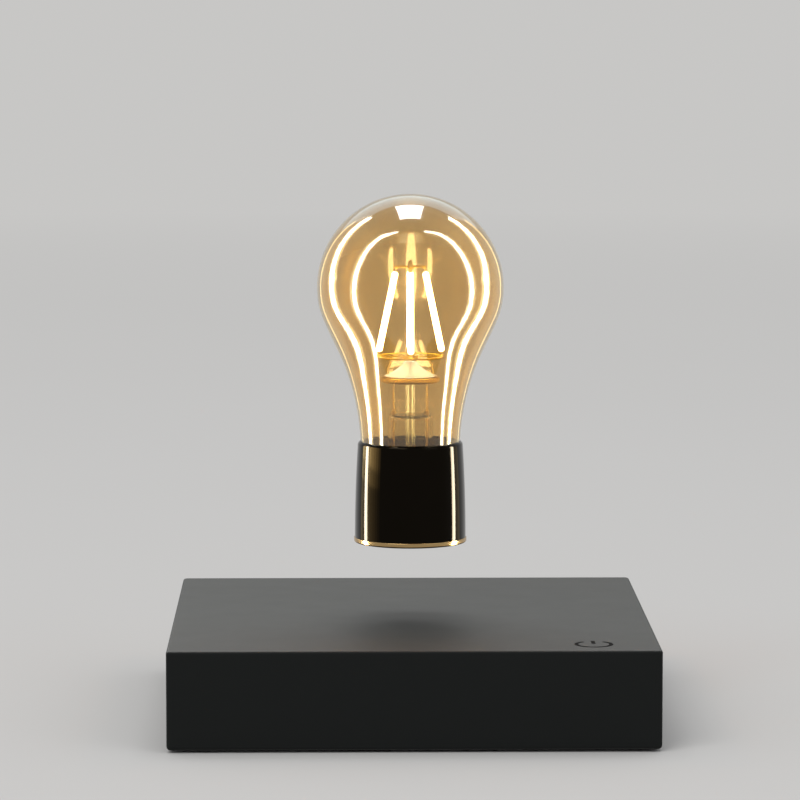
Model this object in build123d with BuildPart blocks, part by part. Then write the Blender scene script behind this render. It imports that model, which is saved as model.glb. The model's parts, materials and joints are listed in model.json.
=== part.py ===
"""Levitating lamp: a clear amber filament bulb in a mirror black cap floats over a square matte base.

The row stands with +Z up and its front towards -Y. Its origin is the middle of the base on the table.
Lengths are in millimetres. The base is one body. The bulb hangs in the magnetic field above it, so nothing
solid joins the two: its magnet rises and falls, and the rest of the bulb turns round that magnet's axis.
"""

import os
from math import atan2, cos, degrees, hypot, radians, sin, tan

from build123d import *

os.makedirs("parts", exist_ok=True)

# Angles, in degrees
half_turn = 180
quarter_turn = 90

# Sizes that several pieces share
fit_clearance = 0.15  # play left round a piece that drops into a pocket
air_gap = 0.3  # play left between a piece and the one that carries it
bond_gap = 0.05  # glue line between two curved faces
cut_overrun_length = 1.0  # how far a cut runs past the face that it opens
pin_clearance = 0.05  # radial play of a shank or a tube in its hole

# Base box
base_width = 152.0
base_depth = 152.0
base_height = 31.5
table_gap = 0.8
base_corner_radius = 1.6
base_edge_radius = 0.9
base_foot_radius = 1.2
cover_wall_thickness = 2.4
cover_roof_thickness = 2.0
boss_radius = 4.0
boss_inset = 10.0
pilot_radius = 1.25
pilot_depth = 9.0

# Bottom plate, its feet and screws
plate_thickness = 2.5
plate_corner_radius = 2.0
foot_radius = 7.0
foot_pocket_depth = 1.0
foot_edge_width = 0.4
foot_inset = 24.0
screw_head_radius = 2.9
screw_head_height = 1.6
screw_length = 9.0
screw_head_recess_depth = 0.4
standoff_height = 2.5
standoff_radius = 3.2

# Main board and what stands on it
board_thickness = 1.6
board_clearance = 3.0
boss_clearance = 1.0
board_screw_inset = 26.0
board_screw_head_radius = 2.6
board_screw_head_height = 1.4
chip_width = 9.0
chip_height = 1.2
chip_inset_x = 13.0
chip_inset_y = 30.0
transistor_width = 6.5
transistor_depth = 4.5
transistor_height = 2.4
transistor_tab_length = 1.6
transistor_spacing = 9.0
transistor_inset = 11.0
capacitor_count = 3
capacitor_radius = 4.0
capacitor_height = 11.0
capacitor_spacing = 10.5
capacitor_inset_x = 36.0
capacitor_inset_y = 12.0
choke_radius = 6.0
choke_bore_radius = 2.6
choke_height = 6.0
choke_inset_x = 36.0
choke_inset_y = 13.0

# Power inlet at the back
jack_width = 9.0
jack_length = 13.5
jack_height = 11.0
jack_bore_radius = 3.1
jack_bore_depth = 9.5
jack_pin_radius = 1.0
jack_pin_length = 8.5
inlet_radius = 4.0
inlet_edge_width = 0.5

# Levitation field: permanent magnets round four electromagnets
magnet_count = 6
magnet_radius = 8.0
magnet_ring_radius = 35.5
magnet_height = 9.0
frame_wall_thickness = 2.5
frame_floor_thickness = 1.2
electromagnet_spacing = 18.4
transistor_count = 4
bobbin_width = 16.2
bobbin_flange_thickness = 1.0
bobbin_tube_radius = 4.0
core_radius = 3.0
winding_radius = 7.8
sensor_board_width = 18.0
sensor_board_thickness = 1.0
sensor_count = 3
sensor_width = 4.0
sensor_depth = 3.0
sensor_height = 1.4
sensor_ring_radius = 5.0

# Power coil under the roof
coil_inner_radius = 22.0
coil_outer_radius = 35.0
coil_height = 1.8
carrier_thickness = 1.2
carrier_radius = 42.0
carrier_bore_radius = 14.0
post_width = 5.0
post_count = 3

# Touch switch under the front right corner
touch_inset_x = 20.5
touch_inset_y = 12.5
touch_pad_radius = 6.0
touch_pad_thickness = 0.3
spring_length = 6.0
spring_width = 3.0
spring_thickness = 0.4

# Floating bulb: outside
levitation_gap = 23.3
cap_height = 32.6
cap_flare_width = 0.85
cap_waist_share = 0.55
cap_swell_share = 0.65
cap_shoulder_width = 1.1
cap_wall_thickness = 0.8
cap_shoulder_height = 1.3
cap_shoulder_radius = 1.4
rim_height = 1.6
rim_lip_width = 0.25
rim_edge_radius = 0.5
rim_width = 3.0
rim_step_width = 1.0
spigot_height = 2.0
cap_plate_thickness = 1.0
cap_plate_recess_depth = 0.15
globe_radius = 30.0
globe_height = 49.5
neck_radius = 15.8
neck_draft = 3.0  # degrees
neck_insert_depth = 8.0
glass_wall_thickness = 0.8

# Floating bulb: inside the cap
receiver_radius = 14.6
receiver_bore_radius = 5.0
receiver_height = 1.5
ferrite_thickness = 0.5
float_magnet_radius = 12.5
float_magnet_height = 10.0
float_magnet_edge_width = 0.5
holder_wall_thickness = 3.5
holder_floor_thickness = 1.2
spacer_wall_thickness = 1.7
spacer_ledge_height = 1.0
spacer_ledge_width = 4.6
rectifier_thickness = 1.0
diode_count = 4
diode_ring_radius = 10.5
diode_width = 3.0
diode_depth = 2.0
diode_height = 1.3
smoothing_radius = 3.0
smoothing_height = 3.4
smoothing_y = 6.4

# Floating bulb: the glass stem and the light inside the globe
stem_radius = 7.3
stem_wall_thickness = 1.0
stem_height = 9.1
stem_shoulder_radius = 2.0
tube_radius = 1.45
tube_bore_radius = 0.85
tube_tail_length = 4.0
rod_radius = 1.0
rod_collar_height = 2.2
bead_radius = 1.7
ring_height = 26.3
ring_radius = 10.7
ring_width = 1.2
ring_thickness = 1.4
spoke_width = 1.1
ring_hub_radius = 2.5
disc_height = 20.0
disc_radius = 9.6
disc_thickness = 1.8
disc_edge_width = 0.4
cone_top_radius = 2.9
cone_waist_radius = 4.7
cone_waist_share = 0.5
cone_wall_thickness = 0.6
cone_gap = 0.4
cone_foot_radius = 9.2
strut_radius = 0.3
strut_sides = 6
strut_foot_radius = 7.2
strut_head_radius = 5.4
strut_bow_depth = 0.5
lead_ring_radius = 5.3
lead_radius = 0.5
lead_knuckle_radius = 0.8
lead_knuckle_height = 0.9
lead_upper_radius = 0.3
crown_height = 55.8
crown_thickness = 0.7
crown_arm_width = 0.9
crown_hub_radius = 1.8
filament_foot_radius = 10.4
filament_head_radius = 4.5
filament_radius = 1.1
filament_edge_width = 0.4
filament_tab_length = 1.3
filament_tab_width = 1.2
filament_tab_thickness = 0.3
filament_sides = {
    "right": 0,
    "back": quarter_turn,
    "left": half_turn,
    "front": half_turn + quarter_turn,
}

# Places worked out from those sizes: base
half_width = base_width / 2
half_depth = base_depth / 2
roof_z = base_height - cover_roof_thickness
inner_half_width = half_width - cover_wall_thickness
inner_half_depth = half_depth - cover_wall_thickness
plate_top_z = table_gap + plate_thickness
board_z = plate_top_z + standoff_height
board_top_z = board_z + board_thickness
boss_x = half_width - boss_inset
boss_y = half_depth - boss_inset
foot_x = half_width - foot_inset
foot_y = half_depth - foot_inset
board_screw_x = half_width - board_screw_inset
board_screw_y = half_depth - board_screw_inset
board_notch = 2 * (boss_inset - cover_wall_thickness + boss_radius + boss_clearance)
chip_x = chip_inset_x - half_width
chip_y = chip_inset_y - half_depth
transistor_x = half_width - transistor_inset
capacitor_x = capacitor_inset_x - half_width
capacitor_y = half_depth - capacitor_inset_y
choke_x = half_width - choke_inset_x
choke_y = half_depth - choke_inset_y
touch_x = half_width - touch_inset_x
touch_y = touch_inset_y - half_depth
jack_z = board_top_z + jack_height / 2
frame_inner_radius = magnet_ring_radius - magnet_radius - frame_wall_thickness
frame_outer_radius = magnet_ring_radius + magnet_radius + frame_wall_thickness
frame_top_z = board_top_z + frame_floor_thickness + magnet_height
coil_z = roof_z - air_gap - coil_height
carrier_z = coil_z - bond_gap - carrier_thickness
sensor_stack = sensor_board_thickness + sensor_height
bobbin_top_z = carrier_z - sensor_stack - 2 * air_gap
bobbin_height = bobbin_top_z - board_top_z

# Sizes and places worked out from those sizes: bulb
cap_hole_radius = neck_radius + fit_clearance
cap_top_radius = cap_hole_radius + cap_shoulder_width
cap_bottom_radius = cap_top_radius + cap_flare_width
cap_waist_radius = cap_top_radius + cap_swell_share * cap_flare_width
cap_z = base_height + levitation_gap
cap_top_z = cap_z + cap_height
rim_top_z = cap_z + rim_height
spigot_top_z = rim_top_z + spigot_height
cap_plate_z = cap_z + cap_plate_recess_depth
receiver_z = cap_plate_z + cap_plate_thickness
ferrite_z = receiver_z + receiver_height
holder_radius = float_magnet_radius + fit_clearance + holder_wall_thickness
float_magnet_z = spigot_top_z + holder_floor_thickness + fit_clearance
spacer_z = float_magnet_z + float_magnet_height + fit_clearance
rectifier_z = spacer_z + spacer_ledge_height
rectifier_top_z = rectifier_z + rectifier_thickness
neck_end_z = cap_top_z - neck_insert_depth
globe_z = cap_top_z + globe_height
stem_top_z = cap_top_z + stem_height
ring_z = cap_top_z + ring_height
disc_z = cap_top_z + disc_height
crown_z = cap_top_z + crown_height


def write(piece, label):
    """Names one finished piece and writes it as the node of that name."""
    piece.part.label = label
    export_step(piece.part, f"parts/{label}.step")


def on_circle(radius, angle):
    """The point of the XY plane at that radius and angle, in degrees."""
    return (radius * cos(radians(angle)), radius * sin(radians(angle)))


def along(centre, radius, angle):
    """The point of the XZ profile at that radius and angle, in degrees, round a centre."""
    dx, dz = on_circle(radius, angle)
    return (centre[0] + dx, centre[1] + dz)


# Base cover: a five-sided box, open below, with a screw boss in each corner and the inlet in its back wall
with BuildPart() as base_cover:
    with BuildSketch(Plane.XY.offset(table_gap)):
        RectangleRounded(base_width, base_depth, base_corner_radius)
    extrude(amount=base_height - table_gap)
    fillet(base_cover.faces().sort_by(Axis.Z)[-1].edges(), base_edge_radius)
    fillet(base_cover.faces().sort_by(Axis.Z)[0].edges(), base_foot_radius)
    with BuildSketch(Plane.XY.offset(table_gap)):
        Rectangle(2 * inner_half_width, 2 * inner_half_depth)
    extrude(amount=roof_z - table_gap, mode=Mode.SUBTRACT)
    with BuildSketch(Plane.XY.offset(plate_top_z)):
        with GridLocations(2 * boss_x, 2 * boss_y, 2, 2):
            Circle(boss_radius)
            Circle(pilot_radius, mode=Mode.SUBTRACT)
    extrude(amount=pilot_depth)
    with BuildSketch(Plane.XY.offset(plate_top_z + pilot_depth)):
        with GridLocations(2 * boss_x, 2 * boss_y, 2, 2):
            Circle(boss_radius)
    extrude(amount=roof_z - plate_top_z - pilot_depth)
    with BuildSketch(Plane.XZ.offset(-half_depth - cut_overrun_length)):
        with Locations((0, jack_z)):
            Circle(inlet_radius)
    extrude(amount=cover_wall_thickness + 2 * cut_overrun_length, mode=Mode.SUBTRACT)
    inlet_edge = base_cover.edges().filter_by(GeomType.CIRCLE).sort_by(Axis.Y)[-1]
    chamfer(inlet_edge, inlet_edge_width)
write(base_cover, "base_cover")

# Bottom plate: closes the box from below and carries the feet, the screws and the board
with BuildPart() as bottom_plate:
    with BuildSketch(Plane.XY.offset(table_gap)):
        RectangleRounded(
            2 * (inner_half_width - fit_clearance),
            2 * (inner_half_depth - fit_clearance),
            plate_corner_radius,
        )
    extrude(amount=plate_thickness)
    with BuildSketch(Plane.XY.offset(plate_top_z)):
        with GridLocations(2 * board_screw_x, 2 * board_screw_y, 2, 2):
            Circle(standoff_radius)
    extrude(amount=standoff_height)
    with BuildSketch(Plane.XY.offset(table_gap)):
        with GridLocations(2 * foot_x, 2 * foot_y, 2, 2):
            Circle(foot_radius + fit_clearance)
    extrude(amount=foot_pocket_depth, mode=Mode.SUBTRACT)
    with Locations(Plane.XY.offset(table_gap)):
        with GridLocations(2 * boss_x, 2 * boss_y, 2, 2):
            Cylinder(
                pilot_radius + fit_clearance,
                plate_thickness,
                align=(Align.CENTER, Align.CENTER, Align.MIN),
                mode=Mode.SUBTRACT,
            )
            Cylinder(
                screw_head_radius + fit_clearance,
                screw_head_height,
                align=(Align.CENTER, Align.CENTER, Align.MIN),
                mode=Mode.SUBTRACT,
            )
    with BuildSketch(Plane.XY.offset(board_z)):
        with GridLocations(2 * board_screw_x, 2 * board_screw_y, 2, 2):
            Circle(pilot_radius)
    extrude(amount=-standoff_height - plate_thickness / 2, mode=Mode.SUBTRACT)
write(bottom_plate, "bottom_plate")

# Rubber feet: pads let into the plate
with BuildPart() as rubber_feet:
    with BuildSketch():
        with GridLocations(2 * foot_x, 2 * foot_y, 2, 2):
            Circle(foot_radius)
    extrude(amount=table_gap + foot_pocket_depth)
    chamfer(rubber_feet.edges().group_by(Axis.Z)[0], foot_edge_width)
write(rubber_feet, "rubber_feet")


def screws(places, head_z, head_radius, head_height, length, upward):
    """Flat-head screws at those places, with the outer face of the head at head_z and the shank up or down."""
    way = 1 if upward else -1
    with BuildPart() as group:
        with BuildSketch(Plane.XY.offset(head_z)):
            with places:
                Circle(head_radius)
        extrude(amount=way * head_height)
        with BuildSketch(Plane.XY.offset(head_z)):
            with places:
                Circle(pilot_radius - pin_clearance)
        extrude(amount=way * length)
    return group


plate_screws = screws(
    GridLocations(2 * boss_x, 2 * boss_y, 2, 2),
    table_gap + screw_head_recess_depth,
    screw_head_radius,
    screw_head_height - screw_head_recess_depth,
    screw_length,
    True,
)
write(plate_screws, "plate_screws")

board_screws = screws(
    GridLocations(2 * board_screw_x, 2 * board_screw_y, 2, 2),
    board_top_z + board_screw_head_height,
    board_screw_head_radius,
    board_screw_head_height,
    board_screw_head_height + board_thickness + standoff_height,
    False,
)
write(board_screws, "board_screws")

# Main board: notched at the corners for the bosses of the cover
with BuildPart() as main_board:
    with BuildSketch(Plane.XY.offset(board_z)):
        Rectangle(2 * (inner_half_width - board_clearance), 2 * (inner_half_depth - board_clearance))
        with GridLocations(2 * inner_half_width, 2 * inner_half_depth, 2, 2):
            Rectangle(board_notch, board_notch, mode=Mode.SUBTRACT)
        with GridLocations(2 * board_screw_x, 2 * board_screw_y, 2, 2):
            Circle(pilot_radius + fit_clearance, mode=Mode.SUBTRACT)
    extrude(amount=board_thickness)
write(main_board, "main_board")

# Control chip
with BuildPart() as control_chip:
    with BuildSketch(Plane.XY.offset(board_top_z)):
        with Locations((chip_x, chip_y)):
            Rectangle(chip_width, chip_width)
    extrude(amount=chip_height)
write(control_chip, "control_chip")

# Power transistors: one for each electromagnet, each with its cooling tab
with BuildPart() as power_transistors:
    with BuildSketch(Plane.XY.offset(board_top_z)):
        with Locations((transistor_x, 0)):
            with GridLocations(0, transistor_spacing, 1, transistor_count):
                Rectangle(transistor_depth, transistor_width)
    extrude(amount=transistor_height)
    with BuildSketch(Plane.XY.offset(board_top_z)):
        with Locations((transistor_x + (transistor_depth + transistor_tab_length) / 2, 0)):
            with GridLocations(0, transistor_spacing, 1, transistor_count):
                Rectangle(transistor_tab_length, transistor_width)
    extrude(amount=transistor_height / 2)
write(power_transistors, "power_transistors")

# Filter capacitors: a row of cans
with BuildPart() as filter_capacitors:
    with BuildSketch(Plane.XY.offset(board_top_z)):
        with Locations((capacitor_x, capacitor_y)):
            with GridLocations(capacitor_spacing, 0, capacitor_count, 1):
                Circle(capacitor_radius)
    extrude(amount=capacitor_height)
write(filter_capacitors, "filter_capacitors")

# Choke: a wound ring lying on the board
with BuildPart() as choke:
    with BuildSketch(Plane.XY.offset(board_top_z)):
        with Locations((choke_x, choke_y)):
            Circle(choke_radius)
            Circle(choke_bore_radius, mode=Mode.SUBTRACT)
    extrude(amount=choke_height)
write(choke, "choke")

# Power jack: a moulded block behind the inlet, bored for the plug, with its centre pin
with BuildPart() as dc_jack:
    with BuildSketch(Plane.XY.offset(board_top_z)):
        with Locations((0, inner_half_depth - bond_gap)):
            Rectangle(jack_width, jack_length, align=(Align.CENTER, Align.MAX))
    extrude(amount=jack_height)
    fillet(dc_jack.edges().filter_by(Axis.Y).group_by(Axis.Z)[-1], inlet_edge_width)
    with BuildSketch(Plane.XZ.offset(bond_gap - inner_half_depth)):
        with Locations((0, jack_z)):
            Circle(jack_bore_radius)
    extrude(amount=jack_bore_depth, mode=Mode.SUBTRACT)
write(dc_jack, "dc_jack")

with BuildPart() as dc_jack_pin:
    with BuildSketch(Plane.XZ.offset(jack_bore_depth + bond_gap - inner_half_depth)):
        with Locations((0, jack_z)):
            Circle(jack_pin_radius)
    extrude(amount=-jack_pin_length)
    chamfer(dc_jack_pin.edges().sort_by(Axis.Y)[-1], jack_pin_radius / 2)
write(dc_jack_pin, "dc_jack_pin")

# Magnet frame: a ring with a blind pocket for each magnet and posts that carry the coil carrier
with BuildPart() as magnet_frame:
    with BuildSketch(Plane.XY.offset(board_top_z)):
        Circle(frame_outer_radius)
        Circle(frame_inner_radius, mode=Mode.SUBTRACT)
    extrude(amount=frame_floor_thickness + magnet_height)
    with BuildSketch(Plane.XY.offset(board_top_z + frame_floor_thickness)):
        with PolarLocations(magnet_ring_radius, magnet_count):
            Circle(magnet_radius + fit_clearance)
    extrude(amount=magnet_height, mode=Mode.SUBTRACT)
    with BuildSketch(Plane.XY.offset(frame_top_z)):
        with PolarLocations(magnet_ring_radius, post_count, start_angle=half_turn / magnet_count):
            Rectangle(post_width, post_width)
    extrude(amount=carrier_z - frame_top_z)
write(magnet_frame, "magnet_frame")

with BuildPart() as levitation_magnets:
    with BuildSketch(Plane.XY.offset(board_top_z + frame_floor_thickness)):
        with PolarLocations(magnet_ring_radius, magnet_count):
            Circle(magnet_radius)
    extrude(amount=magnet_height)
write(levitation_magnets, "levitation_magnets")

# Electromagnets: an iron core, a square-flanged bobbin and a winding at each of four places round the middle
electromagnet_places = GridLocations(electromagnet_spacing, electromagnet_spacing, 2, 2)
with BuildPart() as coil_cores:
    with BuildSketch(Plane.XY.offset(board_top_z)):
        with electromagnet_places:
            Circle(core_radius)
    extrude(amount=bobbin_height)
write(coil_cores, "coil_cores")

with BuildPart() as coil_bobbins:
    for bottom in (board_top_z, bobbin_top_z - bobbin_flange_thickness):
        with BuildSketch(Plane.XY.offset(bottom)):
            with electromagnet_places:
                Rectangle(bobbin_width, bobbin_width)
        extrude(amount=bobbin_flange_thickness)
    with BuildSketch(Plane.XY.offset(board_top_z + bobbin_flange_thickness)):
        with electromagnet_places:
            Circle(bobbin_tube_radius)
    extrude(amount=bobbin_height - 2 * bobbin_flange_thickness)
    with BuildSketch(Plane.XY.offset(board_top_z)):
        with electromagnet_places:
            Circle(core_radius + pin_clearance)
    extrude(amount=bobbin_height, mode=Mode.SUBTRACT)
write(coil_bobbins, "coil_bobbins")

with BuildPart() as coil_windings:
    with BuildSketch(Plane.XY.offset(board_top_z + bobbin_flange_thickness + bond_gap)):
        with electromagnet_places:
            Circle(winding_radius)
            Circle(bobbin_tube_radius + bond_gap, mode=Mode.SUBTRACT)
    extrude(amount=bobbin_height - 2 * (bobbin_flange_thickness + bond_gap))
write(coil_windings, "coil_windings")

# Field sensors on their own small board, in the middle of the electromagnets
with BuildPart() as sensor_board:
    with BuildSketch(Plane.XY.offset(bobbin_top_z)):
        Rectangle(sensor_board_width, sensor_board_width)
    extrude(amount=sensor_board_thickness)
write(sensor_board, "sensor_board")

with BuildPart() as hall_sensors:
    with BuildSketch(Plane.XY.offset(bobbin_top_z + sensor_board_thickness)):
        with PolarLocations(sensor_ring_radius, sensor_count, start_angle=quarter_turn):
            Rectangle(sensor_width, sensor_depth)
    extrude(amount=sensor_height)
write(hall_sensors, "hall_sensors")

# Coil carrier: a disc on the posts of the magnet frame
with BuildPart() as coil_carrier:
    with BuildSketch(Plane.XY.offset(carrier_z)):
        Circle(carrier_radius)
        Circle(carrier_bore_radius, mode=Mode.SUBTRACT)
    extrude(amount=carrier_thickness)
write(coil_carrier, "coil_carrier")

# Power coil: a flat winding on the carrier
with BuildPart() as transmitter_coil:
    with BuildSketch(Plane.XY.offset(coil_z)):
        Circle(coil_outer_radius)
        Circle(coil_inner_radius, mode=Mode.SUBTRACT)
    extrude(amount=coil_height)
write(transmitter_coil, "transmitter_coil")

# Touch switch: a copper pad under the roof and the bent spring strip that joins it to the board
with BuildPart() as touch_pad:
    with BuildSketch(Plane.XY.offset(roof_z - touch_pad_thickness)):
        with Locations((touch_x, touch_y)):
            Circle(touch_pad_radius)
    extrude(amount=touch_pad_thickness)
write(touch_pad, "touch_pad")

spring_top_z = roof_z - touch_pad_thickness
spring_back_x = touch_x - spring_length / 2
spring_front_x = touch_x + spring_length / 2
with BuildPart() as touch_spring:
    with BuildSketch(Plane.XZ.offset(-touch_y)):
        with BuildLine():
            Polyline(
                (spring_back_x, board_top_z),
                (spring_front_x, board_top_z),
                (spring_front_x, board_top_z + spring_thickness),
                (spring_back_x + spring_thickness, board_top_z + spring_thickness),
                (spring_back_x + spring_thickness, spring_top_z - spring_thickness),
                (spring_front_x, spring_top_z - spring_thickness),
                (spring_front_x, spring_top_z),
                (spring_back_x, spring_top_z),
                close=True,
            )
        make_face()
    extrude(amount=spring_width / 2, both=True)
write(touch_spring, "touch_spring")


# The outline of the glass: a ball above, and an arc that leaves it smoothly and meets the neck at its draft
neck_sin = sin(radians(neck_draft))
neck_cos = cos(radians(neck_draft))
neck_arc_radius = (neck_radius**2 + globe_height**2 - globe_radius**2) / (
    2 * (globe_radius - neck_radius * neck_cos - globe_height * neck_sin)
)
neck_arc_centre = (neck_radius + neck_arc_radius * neck_cos, cap_top_z - neck_arc_radius * neck_sin)
leave_angle = degrees(atan2(globe_z - neck_arc_centre[1], neck_arc_centre[0]))
ball_centre = (0, globe_z)


def neck_outside(z):
    """Radius of the outside of the straight part of the neck at that height."""
    return neck_radius - (cap_top_z - z) * tan(radians(neck_draft))


def glass_side(inset):
    """Draws one side of the glass from the crown to the end of the neck, moved in by inset."""
    ball = globe_radius - inset
    waist = neck_arc_radius + inset
    tangent = along(ball_centre, ball, -leave_angle)
    neck_top = along(neck_arc_centre, waist, half_turn - neck_draft)
    middle_angle = half_turn - (leave_angle + neck_draft) / 2
    neck_end = (neck_outside(neck_end_z) - inset / neck_cos, neck_end_z)
    crown = along(ball_centre, ball, quarter_turn)
    ThreePointArc(crown, along(ball_centre, ball, (quarter_turn - leave_angle) / 2), tangent)
    ThreePointArc(tangent, along(neck_arc_centre, waist, middle_angle), neck_top)
    Line(neck_top, neck_end)
    return crown, neck_end


# Glass globe: one blown shell, open at the end of its neck
with BuildPart() as glass_globe:
    with BuildSketch(Plane.XZ):
        with BuildLine():
            outer_crown, outer_end = glass_side(0)
            inner_crown, inner_end = glass_side(glass_wall_thickness)
            Line(outer_crown, inner_crown)
            Line(outer_end, inner_end)
        make_face()
    revolve(axis=Axis.Z)
write(glass_globe, "glass_globe")

# Cap shell: a spun cup that swells slightly towards its foot, open below and holed above for the neck
cap_waist_z = cap_z + cap_waist_share * cap_height


def cap_inside(z):
    """Radius of the inside of the cap at that height, taken along the chords of its swell."""
    knots = (
        (rim_top_z, cap_bottom_radius),
        (cap_waist_z, cap_waist_radius),
        (cap_top_z - cap_wall_thickness, cap_top_radius),
    )
    low, high = knots[:2] if z < cap_waist_z else knots[1:]
    share = (z - low[0]) / (high[0] - low[0])
    return low[1] + share * (high[1] - low[1]) - cap_wall_thickness


with BuildPart() as cap_shell:
    with BuildSketch(Plane.XZ):
        with BuildLine():
            shoulder_start = (cap_top_radius, cap_top_z - cap_shoulder_height)
            shoulder_end = (cap_hole_radius, cap_top_z)
            inner_top = (cap_top_radius - cap_wall_thickness, cap_top_z - cap_wall_thickness)
            ThreePointArc((cap_bottom_radius, rim_top_z), (cap_waist_radius, cap_waist_z), shoulder_start)
            RadiusArc(shoulder_start, shoulder_end, -cap_shoulder_radius)
            Polyline(shoulder_end, (cap_hole_radius, cap_top_z - cap_wall_thickness), inner_top)
            ThreePointArc(
                inner_top,
                (cap_waist_radius - cap_wall_thickness, cap_waist_z),
                (cap_bottom_radius - cap_wall_thickness, rim_top_z),
            )
            Line((cap_bottom_radius - cap_wall_thickness, rim_top_z), (cap_bottom_radius, rim_top_z))
        make_face()
    revolve(axis=Axis.Z)
write(cap_shell, "cap_shell")

# Cap rim: a brass ring whose lip shows below the cap and whose spigot goes up inside it
rim_radius = cap_bottom_radius + rim_lip_width
rim_bore_radius = rim_radius - rim_width
with BuildPart() as cap_rim:
    with BuildSketch(Plane.XY.offset(cap_z)):
        Circle(rim_radius)
    extrude(amount=rim_height)
    fillet(cap_rim.edges().group_by(Axis.Z)[0], rim_edge_radius)
    with BuildSketch(Plane.XY.offset(rim_top_z)):
        Circle(cap_bottom_radius - cap_wall_thickness - fit_clearance)
    extrude(amount=spigot_height)
    with BuildSketch(Plane.XY.offset(cap_z)):
        Circle(rim_bore_radius)
    extrude(amount=rim_height + spigot_height, mode=Mode.SUBTRACT)
    with BuildSketch(Plane.XY.offset(cap_z)):
        Circle(rim_bore_radius + rim_step_width)
    extrude(amount=cap_plate_recess_depth + cap_plate_thickness, mode=Mode.SUBTRACT)
write(cap_rim, "cap_rim")

# Cap plate: the black disc that faces the base
with BuildPart() as cap_plate:
    with BuildSketch(Plane.XY.offset(cap_plate_z)):
        Circle(rim_bore_radius + rim_step_width - pin_clearance)
    extrude(amount=cap_plate_thickness)
write(cap_plate, "cap_plate")

# Receiver coil, and the ferrite sheet that keeps its field off the magnet
with BuildPart() as receiver_coil:
    with BuildSketch(Plane.XY.offset(receiver_z)):
        Circle(receiver_radius)
        Circle(receiver_bore_radius, mode=Mode.SUBTRACT)
    extrude(amount=receiver_height)
write(receiver_coil, "receiver_coil")

with BuildPart() as ferrite_sheet:
    with BuildSketch(Plane.XY.offset(ferrite_z)):
        Circle(receiver_radius)
    extrude(amount=ferrite_thickness)
write(ferrite_sheet, "ferrite_sheet")

# Magnet holder: a cup that stands on the spigot and boxes the magnet in
with BuildPart() as magnet_holder:
    with BuildSketch(Plane.XY.offset(spigot_top_z)):
        Circle(holder_radius)
    extrude(amount=spacer_z - spigot_top_z)
    with BuildSketch(Plane.XY.offset(spigot_top_z + holder_floor_thickness)):
        Circle(float_magnet_radius + fit_clearance)
    extrude(amount=spacer_z - spigot_top_z - holder_floor_thickness, mode=Mode.SUBTRACT)
write(magnet_holder, "magnet_holder")

# Floating magnet
with BuildPart() as float_magnet:
    with BuildSketch(Plane.XY.offset(float_magnet_z)):
        Circle(float_magnet_radius)
    extrude(amount=float_magnet_height)
    chamfer(float_magnet.edges().filter_by(GeomType.CIRCLE), float_magnet_edge_width)
write(float_magnet, "float_magnet")

# Cap spacer: carries the rectifier board on a ledge and the end of the neck on its top
spacer_radius = cap_inside(neck_end_z) - fit_clearance
spacer_top_z = neck_end_z - pin_clearance
spacer_bore_radius = spacer_radius - spacer_wall_thickness
with BuildPart() as cap_spacer:
    with BuildSketch(Plane.XY.offset(spacer_z)):
        Circle(spacer_radius)
    extrude(amount=spacer_top_z - spacer_z)
    with BuildSketch(Plane.XY.offset(spacer_z)):
        Circle(spacer_radius - spacer_ledge_width)
    extrude(amount=spacer_top_z - spacer_z, mode=Mode.SUBTRACT)
    with BuildSketch(Plane.XY.offset(rectifier_z)):
        Circle(spacer_bore_radius)
    extrude(amount=spacer_top_z - rectifier_z, mode=Mode.SUBTRACT)
write(cap_spacer, "cap_spacer")

# Rectifier board with its diodes and smoothing capacitor
with BuildPart() as rectifier_board:
    with BuildSketch(Plane.XY.offset(rectifier_z)):
        Circle(spacer_bore_radius - fit_clearance)
    extrude(amount=rectifier_thickness)
write(rectifier_board, "rectifier_board")

with BuildPart() as rectifier_diodes:
    with BuildSketch(Plane.XY.offset(rectifier_top_z)):
        with PolarLocations(diode_ring_radius, diode_count, start_angle=quarter_turn / 2):
            Rectangle(diode_depth, diode_width)
    extrude(amount=diode_height)
write(rectifier_diodes, "rectifier_diodes")

with BuildPart() as smoothing_capacitor:
    with BuildSketch(Plane.XY.offset(rectifier_top_z)):
        with Locations((0, smoothing_y)):
            Circle(smoothing_radius)
    extrude(amount=smoothing_height)
write(smoothing_capacitor, "smoothing_capacitor")

# Neck gasket: a soft ring between the neck and the cap
gasket_top_z = cap_top_z - cap_wall_thickness - bond_gap
gasket_inner_top = neck_outside(gasket_top_z) + bond_gap
gasket_inner_bottom = neck_outside(neck_end_z) + bond_gap
gasket_outer = cap_inside(cap_top_z) - bond_gap
with BuildPart() as neck_gasket:
    with BuildSketch(Plane.XZ):
        with BuildLine():
            Polyline(
                (gasket_inner_bottom, neck_end_z),
                (gasket_outer, neck_end_z),
                (gasket_outer, gasket_top_z),
                (gasket_inner_top, gasket_top_z),
                close=True,
            )
        make_face()
    revolve(axis=Axis.Z)
write(neck_gasket, "neck_gasket")

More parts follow.
